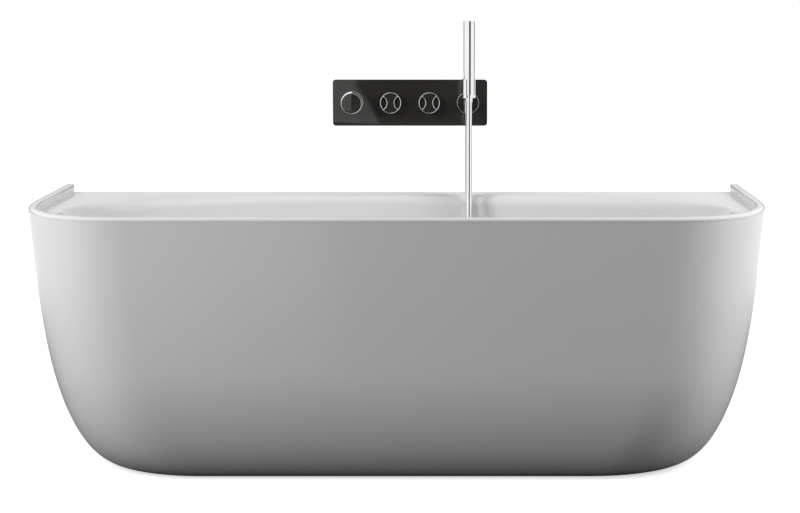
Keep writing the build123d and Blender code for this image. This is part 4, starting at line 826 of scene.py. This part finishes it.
def edge(finish, value, low, high):
    """A smooth step from 0 at the low value to 1 at the high one."""
    return finish.node("ShaderNodeMapRange", {"interpolation_type": "SMOOTHSTEP"},
                       {"Value": value, "From Min": low, "From Max": high})


def zones(finish, x, y):
    """The room that gloss sees: bright at the sides, dark behind the camera and at the back."""
    middle = edge(finish, x, -0.062, -0.042) * (1 - edge(finish, x, 0.50, 0.66))
    front = edge(finish, 0 - y, 0.60, 0.66) * middle
    back = edge(finish, y, 0.42, 0.68)
    return front, back


paper = Finish("paper", roughness=0.95, specular_ior_level=0.0)
rays = paper.node("ShaderNodeLightPath").socket.node
camera_ray = Signal(paper, rays.outputs["Is Camera Ray"])
gloss_ray = Signal(paper, rays.outputs["Is Glossy Ray"])
# Painted shade: gloss sees the paper near the bathtub at about a third of its colour, and soft light
# sees it nearly black, so the rolled-under foot stays dark.
camera_pale_gloss_shaded = camera_ray + 0.3 * gloss_ray
paper.set(base_color=paper.mix(camera_pale_gloss_shaded, (0.05, 0.05, 0.05, 1), (0.80, 0.80, 0.80, 1)))
spread = paper.node("ShaderNodeVectorMath", {"operation": "LENGTH"}, {0: paper.place}, 1)
ways = paper.node("ShaderNodeVectorMath", {"operation": "ADD"}, {0: paper.place, 1: (0.115, 0, 0)})
ways = paper.node("ShaderNodeVectorMath", {"operation": "NORMALIZE"}, {0: ways})
ways = paper.node("ShaderNodeSeparateXYZ", None, {0: ways}).socket.node
front, back = zones(paper, Signal(paper, ways.outputs[0]), Signal(paper, ways.outputs[1]))
far = edge(paper, spread, 1.0, 3.0)
farther = edge(paper, spread, 5.5, 8.0)
mirrored = gloss_ray * (1 - ZONE_DEPTH * front) * (1 - ZONE_DEPTH * back * farther) * 0.9
glow = camera_ray * 0.62 + far * (camera_ray + mirrored)
paper.set(emission_color=paper.mix(glow, BLACK, WHITE), emission_strength=1.0)
ground.data.materials.append(paper.material)
print("floor nodes", len(paper.tree.nodes))


# %% Lamps
def lamp(name, place, target, size, power):
    """A soft area lamp that points at a target; its gloss is left to the sky's zones."""
    data = bpy.data.lights.new(name, "AREA")
    data.shape = "RECTANGLE"
    data.size, data.size_y = size
    data.energy = power
    light = bpy.data.objects.new(name, data)
    light.location = place
    light.rotation_euler = (Vector(target) - Vector(place)).to_track_quat("-Z", "Y").to_euler()
    light.visible_glossy = False
    bpy.context.scene.collection.objects.link(light)
    print(name, "watts", power)


lamp("top_lamp", (-0.4, 0.5, 3.0), (0, -0.3, 0.5), (3.0, 1.6), 3)
lamp("left_lamp", (-2.9, -2.0, 1.9), (-0.6, -0.5, 0.4), (1.2, 1.8), 84)
lamp("right_lamp", (2.7, -1.0, 1.8), (0.7, -0.3, 0.4), (1.2, 1.8), 62)


# %% [markdown]
# ## The sky
# The sky is a formula of direction. The camera sees plain white. Gloss sees white with a dark
# zone behind the camera and another low behind the bathtub, as in a studio where the
# photographer stands in the dark: without them chrome has nothing to reflect but white, and
# looks like paint. Soft light gets a dim sky that is stronger in front and overhead.

# %% Sky
class Sky(Finish):
    """The world's network, built with the same formulas as a finish."""

    def __init__(self):
        world = bpy.data.worlds.new("studio")
        world.use_nodes = True
        bpy.context.scene.world = world
        self.tree = world.node_tree
        self.shader = self.tree.nodes["Background"]
        self.place = self.node("ShaderNodeTexCoord", output="Generated")


sky = Sky()
split = sky.node("ShaderNodeSeparateXYZ", None, {0: sky.place}).socket.node
x, y, z = (Signal(sky, split.outputs[k]) for k in range(3))
path = sky.node("ShaderNodeLightPath").socket.node
to_camera = Signal(sky, path.outputs["Is Camera Ray"])
to_gloss = sky.node("ShaderNodeMath", {"operation": "MAXIMUM"},
                    {0: Signal(sky, path.outputs["Is Glossy Ray"]),
                     1: Signal(sky, path.outputs["Is Transmission Ray"])})
front, back = zones(sky, x, y)
low = 1 - edge(sky, z, 0.04, 0.12)
gloss_sky = (1 - ZONE_DEPTH * front) * (1 - ZONE_DEPTH * back * low)
soft_sky = 0.125 + (0.01 + 0.33 * edge(sky, 0 - y, 0.0, 1.0)) * edge(sky, z, 0.0, 0.7)
level = to_gloss * gloss_sky + (1 - to_gloss) * soft_sky
sky.set(color=WHITE, strength=to_camera + (1 - to_camera) * level)
print("sky nodes", len(sky.tree.nodes))
bpy.context.scene.view_settings.view_transform = "Standard"
